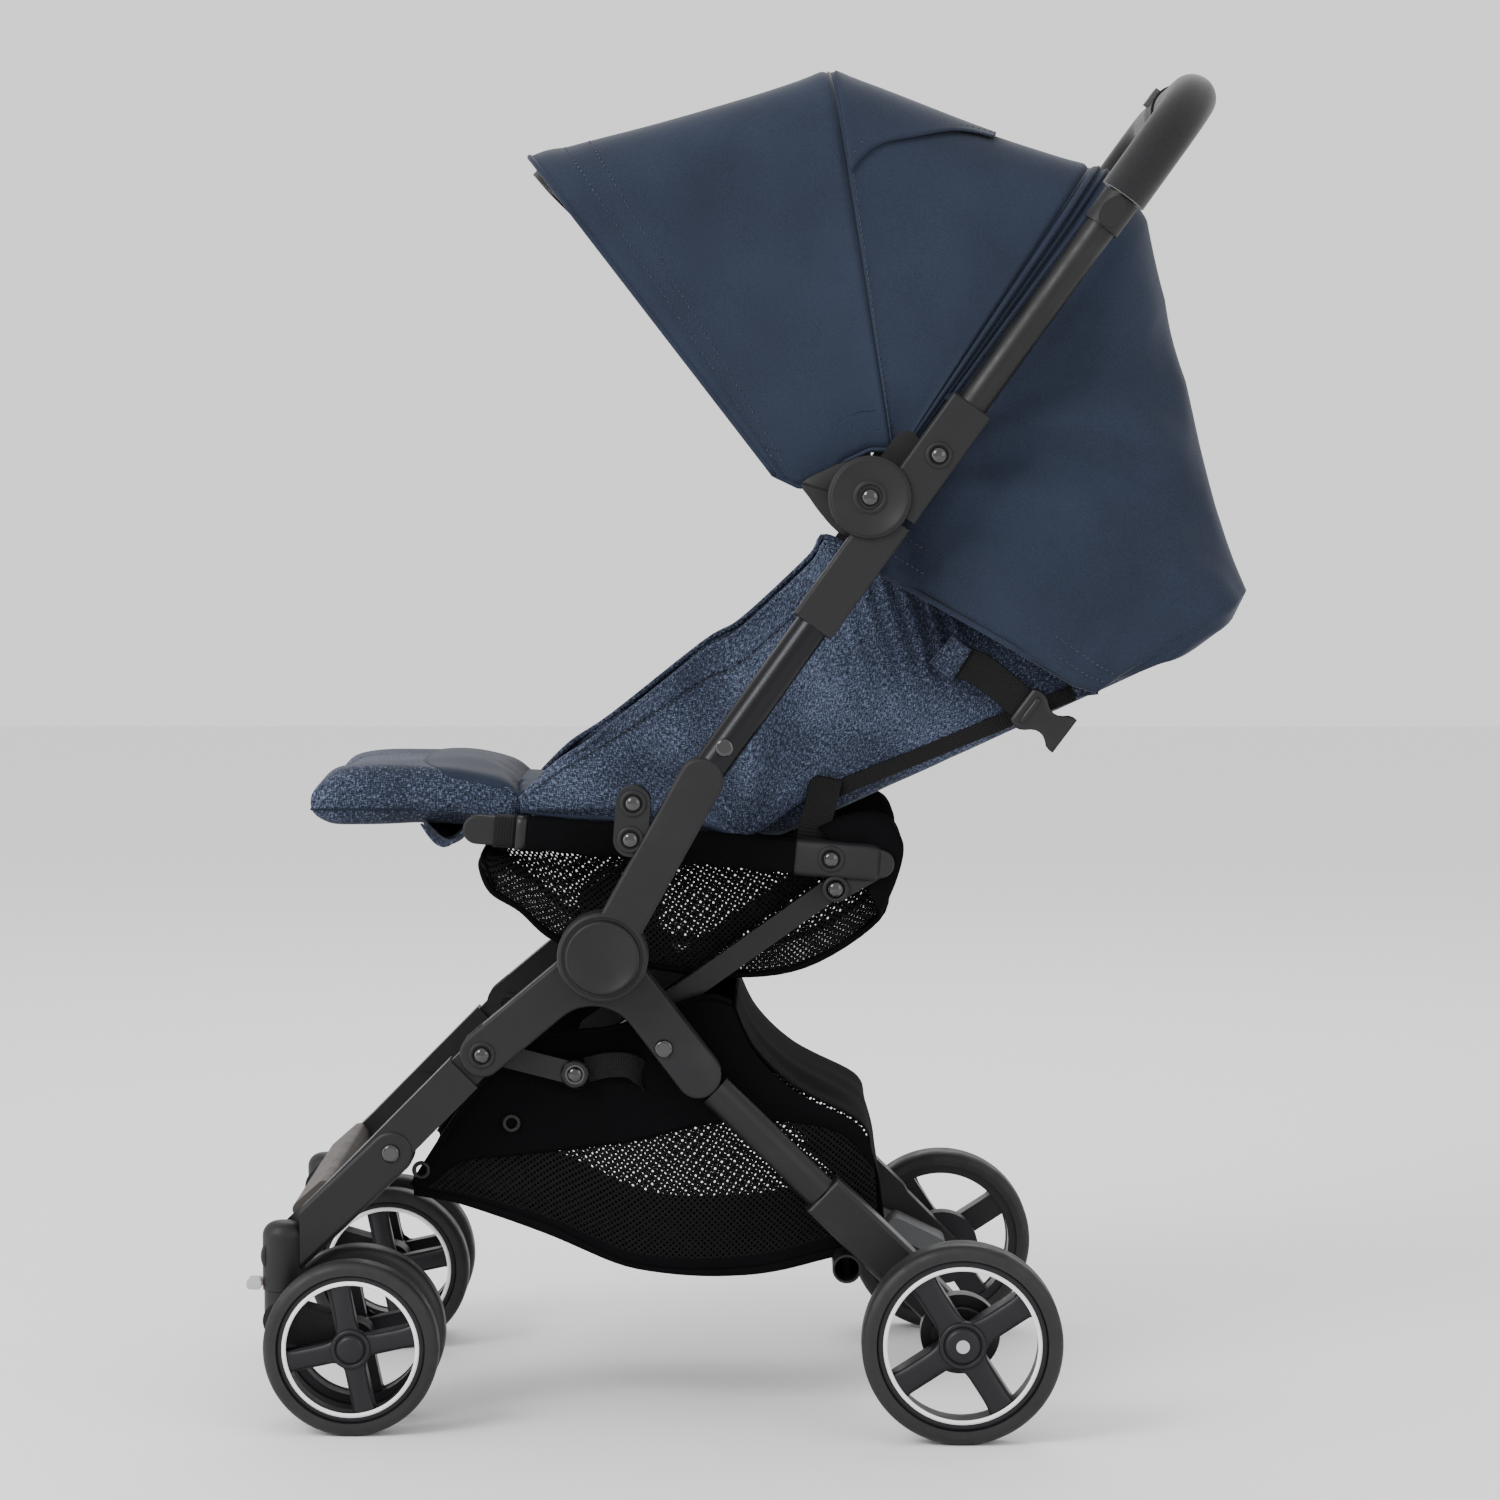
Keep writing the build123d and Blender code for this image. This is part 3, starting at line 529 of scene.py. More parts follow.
def join(name, objects):
    """Makes one piece of several meshes."""
    bm = bmesh.new()
    materials = []
    for obj in objects:
        base = len(materials)
        materials += list(obj.data.materials)
        start = len(bm.faces)
        bm.from_mesh(obj.data)
        bm.faces.ensure_lookup_table()
        for face in bm.faces[start:]:
            face.material_index += base
    unique = list(dict.fromkeys(materials))
    for face in bm.faces:
        face.material_index = unique.index(materials[face.material_index])
    mesh = bpy.data.meshes.new(name)
    bm.to_mesh(mesh)
    bm.free()
    for obj in objects:
        bpy.data.objects.remove(obj)
    made = new_object(name, mesh, unique[0])
    for material in unique[1:]:
        mesh.materials.append(material)
    return made


def other_side(obj, name):
    """The left-hand twin of a right-hand piece."""
    mesh = obj.data.copy()
    mesh.transform(Matrix.Scale(-1, 4, (0, 1, 0)))
    mesh.flip_normals()
    twin = bpy.data.objects.new(name, mesh)
    bpy.context.scene.collection.objects.link(twin)
    return twin


def both_sides(obj, name):
    """The piece and its twin, named right_ and left_."""
    obj.name = "right_" + name
    return [obj, other_side(obj, "left_" + name)]


def ride(objects, body):
    """Puts pieces on a body."""
    for obj in objects:
        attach(obj, body)


def dome_rows(at, profile, sides=40, lift=2):
    """Rings about Z, lifted off a place, from (radius, height) pairs in mm."""
    turns = [2 * math.pi * k / sides for k in range(sides)]
    return [
        [at + Vector((r * MM * math.cos(a), r * MM * math.sin(a), (h + lift) * MM)) for a in turns]
        for r, h in profile
    ]


def wrinkle(point, size, amount, seed):
    """A smooth random height at a place; size in mm, amount in mm."""
    return noise.noise(Vector(point) / (size * MM) + Vector((seed, 0, 0))) * amount


# --- hood -----------------------------------------------------------------------------

# Sections from the front edge backwards: (station, hem beside the knee, ridge beside the knee, half width,
# corner radius, sag of the cloth before it). Distances are from the knee, in mm.
HOOD_SECTIONS = [
    (0.0, (-71, 16), (-261, 261), 164, 56, 0),
    (1.0, (18, 35), (-31, 327), 166, 56, 2),
    (2.0, (21, 29), (171, 253), 168, 56, 2),
    (2.2, (25, 23), (196, 246), 168, 56, 0),
    (3.0, (8, -57), (214, 214), 167, 58, 1),
    (4.0, (39, -74), (229, 154), 167, 58, 1),
    (5.0, (99, -108), (244, 92), 166, 56, 2),
    (6.0, (155, -141), (268, -2), 163, 56, 1),
    (7.0, (172, -146), (293, -68), 160, 48, 1),
    (8.0, (177, -143), (281, -91), 156, 36, 0),
    (9.0, (181, -140), (254, -112), 152, 28, 0),
]
FRONT_HEM = [(-71, 16), (-52, 7), (-28, 14), (-18, 26), (1, 35), (18, 35)]
CROWN = 6.0


def hood_section(s):
    """Hem point, ridge point, half width and corner radius of the hood at a station."""
    for a, b in zip(HOOD_SECTIONS, HOOD_SECTIONS[1:]):
        if s <= b[0]:
            break
    t = (s - a[0]) / (b[0] - a[0])
    base, tip = mix(a[1], b[1], t), mix(a[2], b[2], t)
    if b[0] == 1.0:
        base = along_points(FRONT_HEM, t)
    sag = b[5] * math.sin(math.pi * t)
    half = a[3] + (b[3] - a[3]) * t - sag * 0.8
    corner = a[4] + (b[4] - a[4]) * t
    reach = math.dist(base, tip)
    tip = mix(tip, base, sag / reach)
    return near(KNEE, *base), near(KNEE, *tip), half, min(corner, 0.8 * (reach - CROWN))


def arch(base, tip, half, corner, t):
    """The point at a share t of the arch from the right hem, over the ridge, to the left hem."""
    reach = math.dist(base, tip)
    wall, turn, flat = reach - CROWN - corner, corner * math.pi / 2, half - corner
    run = (0.5 - abs(t - 0.5)) * 2 * (wall + turn + flat)
    if run < wall:
        height, y = run, half
    elif run < wall + turn:
        a = (run - wall) / corner
        height, y = wall + corner * math.sin(a), half - corner * (1 - math.cos(a))
    else:
        y = flat - (run - wall - turn)
        height = reach - CROWN + CROWN * (0.5 + 0.5 * math.cos(math.pi * y / flat))
    side = -y if t < 0.5 else y
    return place(mix(base, tip, height / reach), side)


def hood_point(s, t, lift=0.0):
    """A place on the hood, lifted off the cloth by some mm."""
    p = arch(*hood_section(s), t)
    if lift:
        e = 0.004
        along = arch(*hood_section(min(9, s + e)), t) - arch(*hood_section(max(0, s - e)), t)
        over = arch(*hood_section(s), min(1, t + e)) - arch(*hood_section(s), max(0, t - e))
        normal = along.cross(over)
        middle = place(near(KNEE, 60, 60), 0)
        if normal.length > 0:
            normal.normalize()
            if normal.dot(p - middle) < 0:
                normal = -normal
            p = p + normal * lift * MM
    return p


def hood_fold(s, t):
    """How far the cloth stands out at a place, in mm: the bow channel, seams and soft folds."""
    out = 0.0
    if s < 0.12:
        out += 1.6 * math.sin(math.pi * s / 0.12)
    for seam in (1.0, 2.0):
        out -= 3.4 * math.exp(-(((s - seam) / 0.014) ** 2)) - 1.2 * math.exp(-(((s - seam) / 0.06) ** 2))
    if 2.02 < s < 2.18:
        out += 0.9 * abs(math.sin((s - 2.02) / 0.16 * 3 * math.pi))
    p = hood_point(s, t)
    out += wrinkle(p, 95, 1.6, 3)
    if s > 2.2:
        share = min(1, (s - 2.2) / 1.2)
        radial = math.atan2(p.z - (KNEE[1] + 30) * MM, p.x - KNEE[0] * MM)
        side = min(1, max(0.0, abs(p.y) / MM - 138) / 22)
        wave = math.sin(radial * 13 + 3 * wrinkle(p, 120, 1, 8))
        out += share * side * 5.5 * math.copysign(abs(wave) ** 1.5, wave) * min(1, abs(9 - s))
        out += share * side * (wrinkle(p, 60, 5.0, 5) + wrinkle(p, 24, 1.6, 9))
    return out


def hood_part(name, stations, columns=112):
    rows = []
    for s in stations:
        rows.append([hood_point(s, j / columns, hood_fold(s, j / columns)) for j in range(columns + 1)])
    return grid(name, rows, M["navy"])


def spread(a, b, count):
    return [a + (b - a) * k / count for k in range(count + 1)]


def hood_line(name, s0, s1, t0, t1, lift=0.9, steps=120, **sizes):
    """A row of stitches across the hood."""
    points = []
    for k in range(steps + 1):
        s, t = s0 + (s1 - s0) * k / steps, t0 + (t1 - t0) * k / steps
        points.append(hood_point(s, t, lift + hood_fold(s, t)))
    return stitches(name, points, M["thread_navy"], **sizes)


def hood_rod(name, s, radius, lift, t0=0.0, t1=1.0, material="navy", steps=110):
    points = [hood_point(s, t, lift + hood_fold(s, t)) for t in spread(t0, t1, steps)]
    return rod(name, points, radius, M[material], sides=8)


def flap_edge(f):
    """Where the vent flap's lower edge runs at a share f of its length back from the mid seam."""
    return 0.243 + 0.082 * f + 0.012 * math.sin(math.pi * f) + 0.004 * math.sin(9 * f)


def vent_flap():
    """The loose flap over the rear of the ridge."""
    rows = []
    for k in range(41):
        f = k / 40
        s = 1.02 + 0.62 * f
        low = flap_edge(f)
        lift = 1.4 + 1.6 * f + 0.8 * math.sin(f * math.pi)
        row = []
        for j in range(81):
            t = low + (1 - 2 * low) * j / 80
            edge = min(j, 80 - j) / 80
            row.append(hood_point(s, t, hood_fold(s, t) + lift + 1.4 * math.exp(-edge * 24)))
        rows.append(row)
    flap = thicken(grid("hood_vent_flap", rows, M["navy"]), 1.1)
    hem = []
    for sign in (0, 1):
        pts = []
        for k in range(41):
            f = k / 40
            s = 1.02 + 0.62 * f
            t = flap_edge(f) + 0.012
            pts.append(hood_point(s, 1 - t if sign else t, hood_fold(s, t) + 3.1 + 1.6 * f))
        hem.append(stitches("flap_hem_%d" % sign, pts, M["thread_navy"], thick=0.3))
    return flap, hem


def hood():
    """The whole hood: front, middle and rear cloth, seams, zip, flap and hems."""
    front_rows = spread(0, 0.12, 10) + spread(0.16, 0.94, 22) + spread(0.955, 1.0, 5)
    middle_rows = spread(1.0, 1.05, 5) + spread(1.09, 1.93, 22) + spread(1.95, 2.2, 26)
    rear_rows = spread(2.2, 2.3, 4) + spread(2.4, 7.0, 60) + spread(7.1, 9.0, 14)
    front = hood_part("hood_front_panel", front_rows)
    middle = hood_part("hood_middle_panel", middle_rows)
    rear = hood_part("hood_rear_curtain", rear_rows)
    for obj in (front, middle, rear):
        thicken(obj, 1.3)
    front_trim = [
        hood_rod("edge_binding", 0.004, 2.2, 0.2),
        hood_line("stitch_a", 0.125, 0.11, 0.02, 0.98),
        hood_line("stitch_b", 0.20, 0.20, 0.02, 0.98),
        rod("front_hem", [hood_point(s, 0.0, 0.0) for s in spread(0.0, 0.99, 40)], 1.7, M["navy"], 8),
        rod("front_hem_left", [hood_point(s, 1.0, 0.0) for s in spread(0.0, 0.99, 40)], 1.7, M["navy"], 8),
        rod("front_hem_stitch", [hood_point(s, 0.035, 0.5) for s in spread(0.02, 0.97, 40)],
            0.5, M["thread_navy"], 6),
    ]
    middle_trim = [
        hood_line("stitch_c", 1.035, 1.035, 0.02, 0.98),
        hood_rod("mid_piping", 1.0, 1.3, 0.9, 0.01, 0.99, "thread_navy"),
        hood_rod("rear_piping", 2.0, 1.2, 0.9, 0.01, 0.99, "thread_navy"),
        hood_rod("zip_ridge_a", 2.05, 1.3, 0.4, 0.01, 0.99, "navy_dark"),
        hood_rod("zip_ridge_b", 2.10, 1.3, 0.4, 0.01, 0.99, "navy_dark"),
        hood_rod("zip_ridge_c", 2.16, 1.5, 0.4, 0.01, 0.99),
    ]
    rear_trim = []
    for side in (0.0, 1.0):
        inward = 0.035 if side == 0.0 else -0.035
        hem = [hood_point(s, side, 0.0) for s in spread(2.25, 7.0, 60)]
        rear_trim.append(rod("curtain_hem", hem, 1.9, M["navy"], 8))
        for k in (0.5, 1.0):
            line = [hood_point(s, side + inward * k, hood_fold(s, side) + 0.7)
                    for s in spread(2.6, 6.9, 90)]
            rear_trim.append(stitches("curtain_stitch", line, M["thread_navy"]))
    puller_top = hood_point(2.1, 0.075, 3)
    puller_line = [puller_top + Vector(d) for d in ((0, 0, 0), (0.006, -0.001, -0.012), (0.010, 0, -0.026))]
    puller = strap("zip_puller", puller_line, 6, 1.6, M["navy_dark"], across=(1, 0, 0.4))
    flap, flap_hem = vent_flap()
    front_trim = join("hood_front_trim", front_trim)
    middle_trim = join("hood_middle_trim", middle_trim + [puller] + flap_hem)
    rear_trim = join("hood_rear_trim", rear_trim)

    def bend(objects):
        for obj in objects:
            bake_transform(obj)

    bend((front, front_trim))
    bend((middle, middle_trim, flap))
    for obj in (rear, rear_trim):
        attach(obj, "hood_base")
    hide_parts("hood_front_cloth")
    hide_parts("hood_rear_cloth")


# --- seat -----------------------------------------------------------------------------

# The wing's upper and lower lines, from its front tip backwards, beside the backrest's hinge.
WING_TOP = [(-175, 16), (-148, 43), (-114, 66), (-38, 126), (-8, 144),
            (47, 195), (60, 212), (98, 190), (189, 141), (264, 103)]
WING_FOOT = [(-175, 8), (-142, 3), (-99, 0), (-38, -4), (-4, -13),
             (38, 14), (76, 34), (136, 58), (197, 84), (264, 97)]
WING_Y = 131.0


def wing_point(u, v, lift=0.0):
    """A place on the wing: u from front to rear, v from the foot to the top edge."""
    top = along_points(WING_TOP_LINE, u)
    foot = along_points(WING_FOOT_LINE, u)
    x, z = mix(foot, top, v)
    heel = math.atan2(z + 13, x + 4)
    distance = math.hypot(x + 4, z + 13)
    fan = math.exp(-(((distance - 75) / 80) ** 2)) * 6.5 * math.sin(heel * 9 + 0.6)
    pleat = math.sin(x * 0.40 + 0.10 * z)
    pleats = 4.2 * math.copysign(abs(pleat) ** 0.7, pleat)
    gather = math.exp(-(((x - 118) / 50) ** 2)) * pleats * min(1, v * 1.6)
    slack = 6.5 * math.sin(math.pi * min(1, max(0, u))) * math.sin(math.pi * min(1, v))
    soft = wrinkle((x * MM, 0, z * MM), 44, 6.0, 2) + wrinkle((x * MM, 0, z * MM), 16, 1.2, 6)
    calm = min(1, v * 6) * min(1, (1.02 - v) * 9)
    out = (fan + gather + soft) * calm + slack
    return place(near(BACK_HINGE, x, z), -(WING_Y + out + lift))


WING_TOP_LINE = smooth_points(WING_TOP, 6)
WING_FOOT_LINE = smooth_points(WING_FOOT, 6)


def wing():
    """One raised cloth side of the seat, with its hemmed top and stitching."""
    rows = [[wing_point(u, v) for v in spread(0, 1, 60)] for u in spread(0, 1, 170)]
    cloth = flip(thicken(grid("wing_cloth", rows, M["heather"]), 1.6))
    hem = rod("wing_hem", [wing_point(u, 1.0, 0.4) for u in spread(0, 0.62, 80)], 2.4, M["heather"], 10)
    tape = [[wing_point(u, v, 1.5) for v in spread(0.86, 1.0, 6)] for u in spread(0.02, 0.62, 90)]
    tape = thicken(grid("wing_tape", tape, M["heather"]), 1.2)
    seam_line = [wing_point(u, 0.85, 1.6) for u in spread(0.03, 0.62, 120)]
    seam = stitches("wing_stitch", seam_line, M["thread_navy"], thick=0.35)
    foot = rod("wing_piping", [wing_point(u, 0.015, 0.6) for u in spread(0.0, 0.36, 60)], 2.0, M["navy"], 8)
    trim = join("wing_trim", [hem, tape, seam, foot])
    return cloth, trim


def wings():
    """Both seat sides. They stay on the seat frame."""
    cloth, trim = wing()
    cloths = both_sides(cloth, "seat_wing")
    trims = both_sides(trim, "seat_wing_trim")
    for obj in cloths + trims:
        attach(obj, "seat_frame")
        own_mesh(obj)
    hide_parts("side_wings")


def puff(node, name, voxel, pressure, material, movement=0.010):
    """A soft pad simulated from a CAD pad: a rounded copy blown up like a cushion."""
    source = frame["nodes"][node]
    obj = bpy.data.objects.new(name, source.data.copy())
    bpy.context.scene.collection.objects.link(obj)
    obj.data.materials.clear()
    obj.data.materials.append(material)
    modifier(obj, "REMESH", mode="VOXEL", voxel_size=voxel * MM)
    apply_modifiers(obj)
    rest = [v.co.copy() for v in obj.data.vertices]
    cloth = modifier(obj, "CLOTH")
    cloth.settings.quality = 6
    cloth.settings.mass = 0.3
    cloth.settings.tension_stiffness = 22
    cloth.settings.compression_stiffness = 12
    cloth.settings.bending_stiffness = 0.4
    cloth.settings.use_pressure = True
    cloth.settings.uniform_pressure_force = pressure
    cloth.settings.effector_weights.gravity = 0.0
    cloth.point_cache.frame_start = 1
    cloth.point_cache.frame_end = 20
    for step in range(1, 21):
        bpy.context.scene.frame_set(step)
    apply_modifiers(obj)
    bpy.context.scene.frame_set(1)
    for vertex, start in zip(obj.data.vertices, rest):
        shift = vertex.co - start
        if shift.length > movement:
            vertex.co = start + shift.normalized() * movement
    modifier(obj, "SMOOTH", factor=0.5, iterations=4)
    modifier(obj, "SUBSURF", levels=1, render_levels=1)
    apply_modifiers(obj)
    for polygon in obj.data.polygons:
        polygon.use_smooth = True
    box_uv(obj)
    return obj


def box_uv(obj):
    """UVs in metres, taken from the side, top or front by each face's direction."""
    mesh = obj.data
    layer = mesh.uv_layers.new(name="metres") if not mesh.uv_layers else mesh.uv_layers[0]
    for polygon in mesh.polygons:
        n = polygon.normal
        flat = max(range(3), key=lambda k: abs(n[k]))
        keep = [k for k in (0, 1, 2) if k != flat]
        for loop in polygon.loop_indices:
            co = mesh.vertices[mesh.loops[loop].vertex_index].co
            layer.data[loop].uv = (co[keep[0]], co[keep[1]])


def shape_pad(obj, change):
    """Moves each point of a pad to where a function of its place says."""
    for vertex in obj.data.vertices:
        vertex.co = change(vertex.co)
    obj.data.update()


def pads():
    """Seat, backrest and legrest cushions, with the legrest's seam."""
    seat = puff("seat_pad", "seat_cushion", 5, 4, M["heather"])
    back = puff("backrest_pad", "backrest_cushion", 5, 4, M["heather"])
    legs = puff("legrest_pad", "legrest_cushion", 5, 4, M["heather"], 0.007)
    legrest_low, legrest_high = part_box("legrest_pad")
    middle_z = (legrest_low.z + legrest_high.z) / 2

    def grow(co):
        """The legrest is deepest at its front, with a low rear top and soft wrinkles."""
        share = (co.x - legrest_low.x) / (legrest_high.x - legrest_low.x)
        lift = 1.0 + 0.22 * math.sin(math.pi * min(1, share + 0.1))
        dz = (co.z - middle_z) * lift + wrinkle(co, 55, 2.0, 4) * MM
        side = 1.0 + 0.018 * math.cos(math.pi * (share - 0.4))
        return Vector((co.x, co.y * side, middle_z + dz + 0.006 * math.sin(math.pi * share)))

    shape_pad(legs, grow)
    for obj, node, body in ((seat, "seat_pad", "seat_frame"), (back, "backrest_pad", "backrest"),
                            (legs, "legrest_pad", "legrest")):
        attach(obj, body)
        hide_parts(node)
    legrest_trim(legs)
    harness(seat, back)
    back_trim()


def laid_strap(name, obj, ends, width, thick, material, lift=1.2):
    """A strap that lies on a cushion between places given as (along x, across y) in metres."""
    points = []
    for a, b in zip(ends, ends[1:]):
        for k in range(14):
            x, y = mix(a, b, k / 14)
            hit = surface_hit(obj, (x, y, 1.2), (0, 0, -1))
            if hit:
                points.append(tuple(hit + Vector((0, 0, (lift + thick / 2) * MM))))
    return strap(name, smooth_points(points[::2], 3), width, thick, material)


def harness(seat, back):
    """A five-point harness: shoulder straps with pads, lap and crotch straps, and a round buckle."""
    bpy.context.view_layer.update()
    x = place(BACK_HINGE, 0).x
    shoulder, pads_made = [], []
    for side in (-1, 1):
        strap_ends = [(x + 0.200, side * 0.052), (x + 0.030, side * 0.030)]
        pad_ends = [(x + 0.17, side * 0.049), (x + 0.075, side * 0.038)]
        shoulder.append(laid_strap("shoulder", back, strap_ends, 25, 1.6, M["webbing"]))
        pads_made.append(laid_strap("shoulder_pad", back, pad_ends, 42, 6, M["heather"], 2.6))
    straps = join("harness_shoulder_straps", shoulder)
    pieces = join("harness_shoulder_pads", pads_made)
    ride((straps, pieces), "backrest")
    crotch = laid_strap("crotch", seat, [(x - 0.115, 0.0), (x - 0.040, 0.0)], 30, 2.2, M["webbing"])
    laps = []
    for side in (-1, 1):
        lap_ends = [(x - 0.045, side * 0.012), (x - 0.035, side * 0.112)]
        laps.append(laid_strap("lap", seat, lap_ends, 25, 1.6, M["webbing"], 2.4))
    top_hit = surface_hit(seat, (x - 0.045, 0, 1.2), (0, 0, -1))
    case = dome_rows(top_hit, [(0.1, 12), (12, 11.6), (19, 10), (22.5, 6.5), (23, 1.5), (22, 0)])
    button = dome_rows(top_hit, [(9.5, 11.4), (9.3, 13.6), (7.5, 14.4), (0.1, 14.6)])
    parts = [grid("case", case, M["buckle"], close=True), grid("button", button, M["grey"], close=True)]
    buckle = join("harness_buckle", parts)
    ride((join("harness_lower_straps", [crotch] + laps), buckle), "seat_frame")


def surface_hit(obj, origin, direction):
    """The first place on a piece along a ray."""
    found, place_hit, _, _ = obj.ray_cast(Vector(origin), Vector(direction))
    return place_hit if found else None


def legrest_trim(legs):
    """The boxing seam round the legrest, the navy patch and the folded flap below."""
    bpy.context.view_layer.update()
    low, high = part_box("legrest_pad")
    inside_x = (low.x + high.x) / 2
    points = []
    for k in range(121):
        a = math.pi * (0.5 + k / 120)
        out = Vector((math.cos(a), math.sin(a), 0))
        height = (low.z + high.z) / 2 - 0.004
        target = Vector((inside_x + 0.13 * math.cos(a), 0.18 * math.sin(a), height))
        hit = surface_hit(legs, target, (Vector((inside_x, 0, height)) - target).normalized())
        if hit:
            points.append(hit + out * 0.0004)
    seam = rod("legrest_piping", points, 1.0, M["navy_dark"], 8)
    hinge = place(LEGREST_HINGE, 0)
    patch_rows = []
    for i in range(33):
        row = []
        for j in range(57):
            u, v = i / 32, j / 56
            y = (v - 0.5) * 0.236
            half = (1 - abs(2 * v - 1) ** 3) ** 0.5
            x = hinge.x - 0.018 + (u - 0.5) * (0.056 + 0.052 * half)
            bulge = 0.008 * (math.sin(math.pi * u) * math.sin(math.pi * v)) ** 0.8
            hit = surface_hit(legs, (x, y, 0.6), (0, 0, -1))
            z = (hit.z if hit else hinge.z + 0.012) - 0.0006 + bulge
            row.append(Vector((x, y, z)))
        patch_rows.append(row)
    patch = thicken(grid("legrest_patch", patch_rows, M["navy"]), 1.5)
    flap_rows = []
    for i in range(25):
        row = []
        for j in range(57):
            u, v = i / 24, j / 56
            y = (v - 0.5) * 0.262
            x = hinge.x - 0.068 + 0.038 * u + 0.002 * math.sin(30 * v)
            z = hinge.z - 0.012 - 0.016 * math.sin(math.pi * u) - 0.002 * math.sin(v * 41 + 5 * u)
            row.append(Vector((x, y, z)))
        flap_rows.append(row)
    flap = thicken(grid("legrest_flap", flap_rows, M["heather"]), 1.6)
    for obj in (seam, flap, patch):
        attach(obj, "legrest")
    for obj, keep in ((legs, 0.7), (seam, 0.7), (patch, 0.7), (flap, 0.5)):
        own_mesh(obj)


def offsets(start, steps):
    """Places at some offsets from a start, in metres."""
    return [start + Vector(step) for step in steps]


def back_trim():
    """The backrest's black side tape and lower webbing, and the buckle below the curtain."""
    angle = math.atan2(WING_FOOT[-1][1] - WING_FOOT[4][1], WING_FOOT[-1][0] - WING_FOOT[4][0])
    lean = Vector((math.cos(angle), 0, math.sin(angle)))
    start = place(near(BACK_HINGE, 60, 22), -133)
    tape = strap("back_edge_tape", [start + lean * 0.2 * k / 12 for k in range(13)], 12, 2.2, M["webbing"],
                 across=(-math.sin(angle), 0, math.cos(angle)))
    hook = place(near(BACK_HINGE, 158, 122), -146)
    loop = offsets(hook, [(0, 0, 0), (0.016, -0.002, -0.006), (0.034, -0.003, -0.020),
                          (0.050, -0.004, -0.034)])
    recline = strap("recline_webbing", smooth_points([tuple(p) for p in loop], 5), 25, 1.8, M["webbing"],
                    across=(0.62, 0, 0.78))
    body = buckle_body(loop[-1], Vector((0.80, 0, -0.60)))
    drop_top = place(near(BACK_HINGE, 58, 34), -136)
    drop = offsets(drop_top, [(0, 0, 0), (-0.004, -0.003, -0.018), (-0.010, -0.003, -0.040),
                              (-0.012, 0.0, -0.056)])
    anchor = strap("anchor_webbing", smooth_points([tuple(p) for p in drop], 5), 24, 1.8, M["webbing"],
                   across=(1, 0, 0.2))
    tab_line = offsets(hook, [(-0.014, -0.002, 0.010), (-0.006, -0.004, 0.003), (0.002, -0.003, -0.002)])
    tab = strap("denim_tab", tab_line, 27, 2.4, M["heather"], across=(0.62, 0, 0.78))
    pieces = {"back_edge_tape": tape, "recline_webbing": recline, "recline_buckle": body,
              "anchor_webbing": anchor, "denim_tab": tab}
    for name, piece in pieces.items():
        ride(both_sides(piece, name), "seat_frame")


def buckle_body(at, direction):
    """The plug of a side-release buckle: a bar, a waisted body and a raised rib."""
    direction = direction.normalized()
    across = Vector((-direction.z, 0, direction.x))
    widths = [29, 33, 34, 33, 29, 23, 19, 18, 19, 23, 29, 31, 31]
    line = [at + direction * (3.4 * k - 4) * MM for k in range(len(widths))]
    body = strap("buckle_plug", line, 30, 8, M["buckle"], across=across, widths=widths)
    rib_line = [at + direction * d * MM for d in (2, 4, 6)]
    rib = strap("buckle_rib", rib_line, 24, 11, M["buckle"], across=across)
    return join("buckle", [body, rib])


# --- rails and net pocket -------------------------------------------------------------


def rail_cover():
    """The cloth sleeve on a seat rail, its ring and its webbing at the front."""
    low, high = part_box("right_seat_rail")
    middle_y = -low.y / MM - 9
    rail_front, rail_rear = near(SEAT_PIVOT, -118, 3), near(SEAT_PIVOT, 187, -23)
    angle = math.atan2(rail_rear[1] - rail_front[1], rail_rear[0] - rail_front[0])

    def ring(distance, grow, seed=0.0):
        centre = (rail_front[0] + distance * math.cos(angle), rail_front[1] + distance * math.sin(angle))
        row = []
        for k in range(28):
            a = 2 * math.pi * k / 28
            c, s = math.cos(a), math.sin(a)
            power = 0.45
            dy = math.copysign(abs(c) ** power, c) * (9 + grow)
            dz = math.copysign(abs(s) ** power, s) * (11 + grow)
            loose = seed * noise.noise(Vector((distance / 14, c * 1.4, s * 1.4)))
            up = dz + loose
            middle = (centre[0] - up * math.sin(angle), centre[1] + up * math.cos(angle))
            row.append(place(middle, -(middle_y - dy - loose * 0.4)))
        return row

    sleeve_rows = [ring(d, 1.9, 2.2) for d in spread(38, 243, 80)]
    webbing_rows = [ring(d, 1.5) for d in spread(13, 29, 6)]
    collar_rows = [ring(d, g) for d, g in ((29, 0.4), (30, 2.2), (37, 2.2), (38, 0.4))]
    sleeve = grid("rail_sleeve", sleeve_rows, M["black_cloth"], close=True)
    webbing_piece = grid("rail_webbing", webbing_rows, M["webbing"], close=True)
    collar = grid("rail_ring", collar_rows, M["buckle"], close=True)
    bracket = [(241, 0.5), (242, 2.4), (243.5, 3.2), (296, 3.2), (302, 2.6), (306, 0.8)]
    bracket = grid("rail_bracket", [ring(d, g) for d, g in bracket], M["moulding"], close=True)
    for obj in (webbing_piece, collar, bracket):
        cap_ends(obj, len(obj.data.vertices) // 28, 28)
    return {"rail_sleeve": sleeve, "rail_webbing": webbing_piece, "rail_ring": collar,
            "rail_bracket": bracket}


# The net pocket's side outline, from its front lip to its rear, in mm from the seat pivot.
POCKET_EDGE = [(-115, -20), (-117, -29), (-109, -47), (-87, -61), (-60, -84),
               (-10, -100), (66, -111), (130, -104), (186, -68), (193, -36)]
POCKET_HALF = 112.0


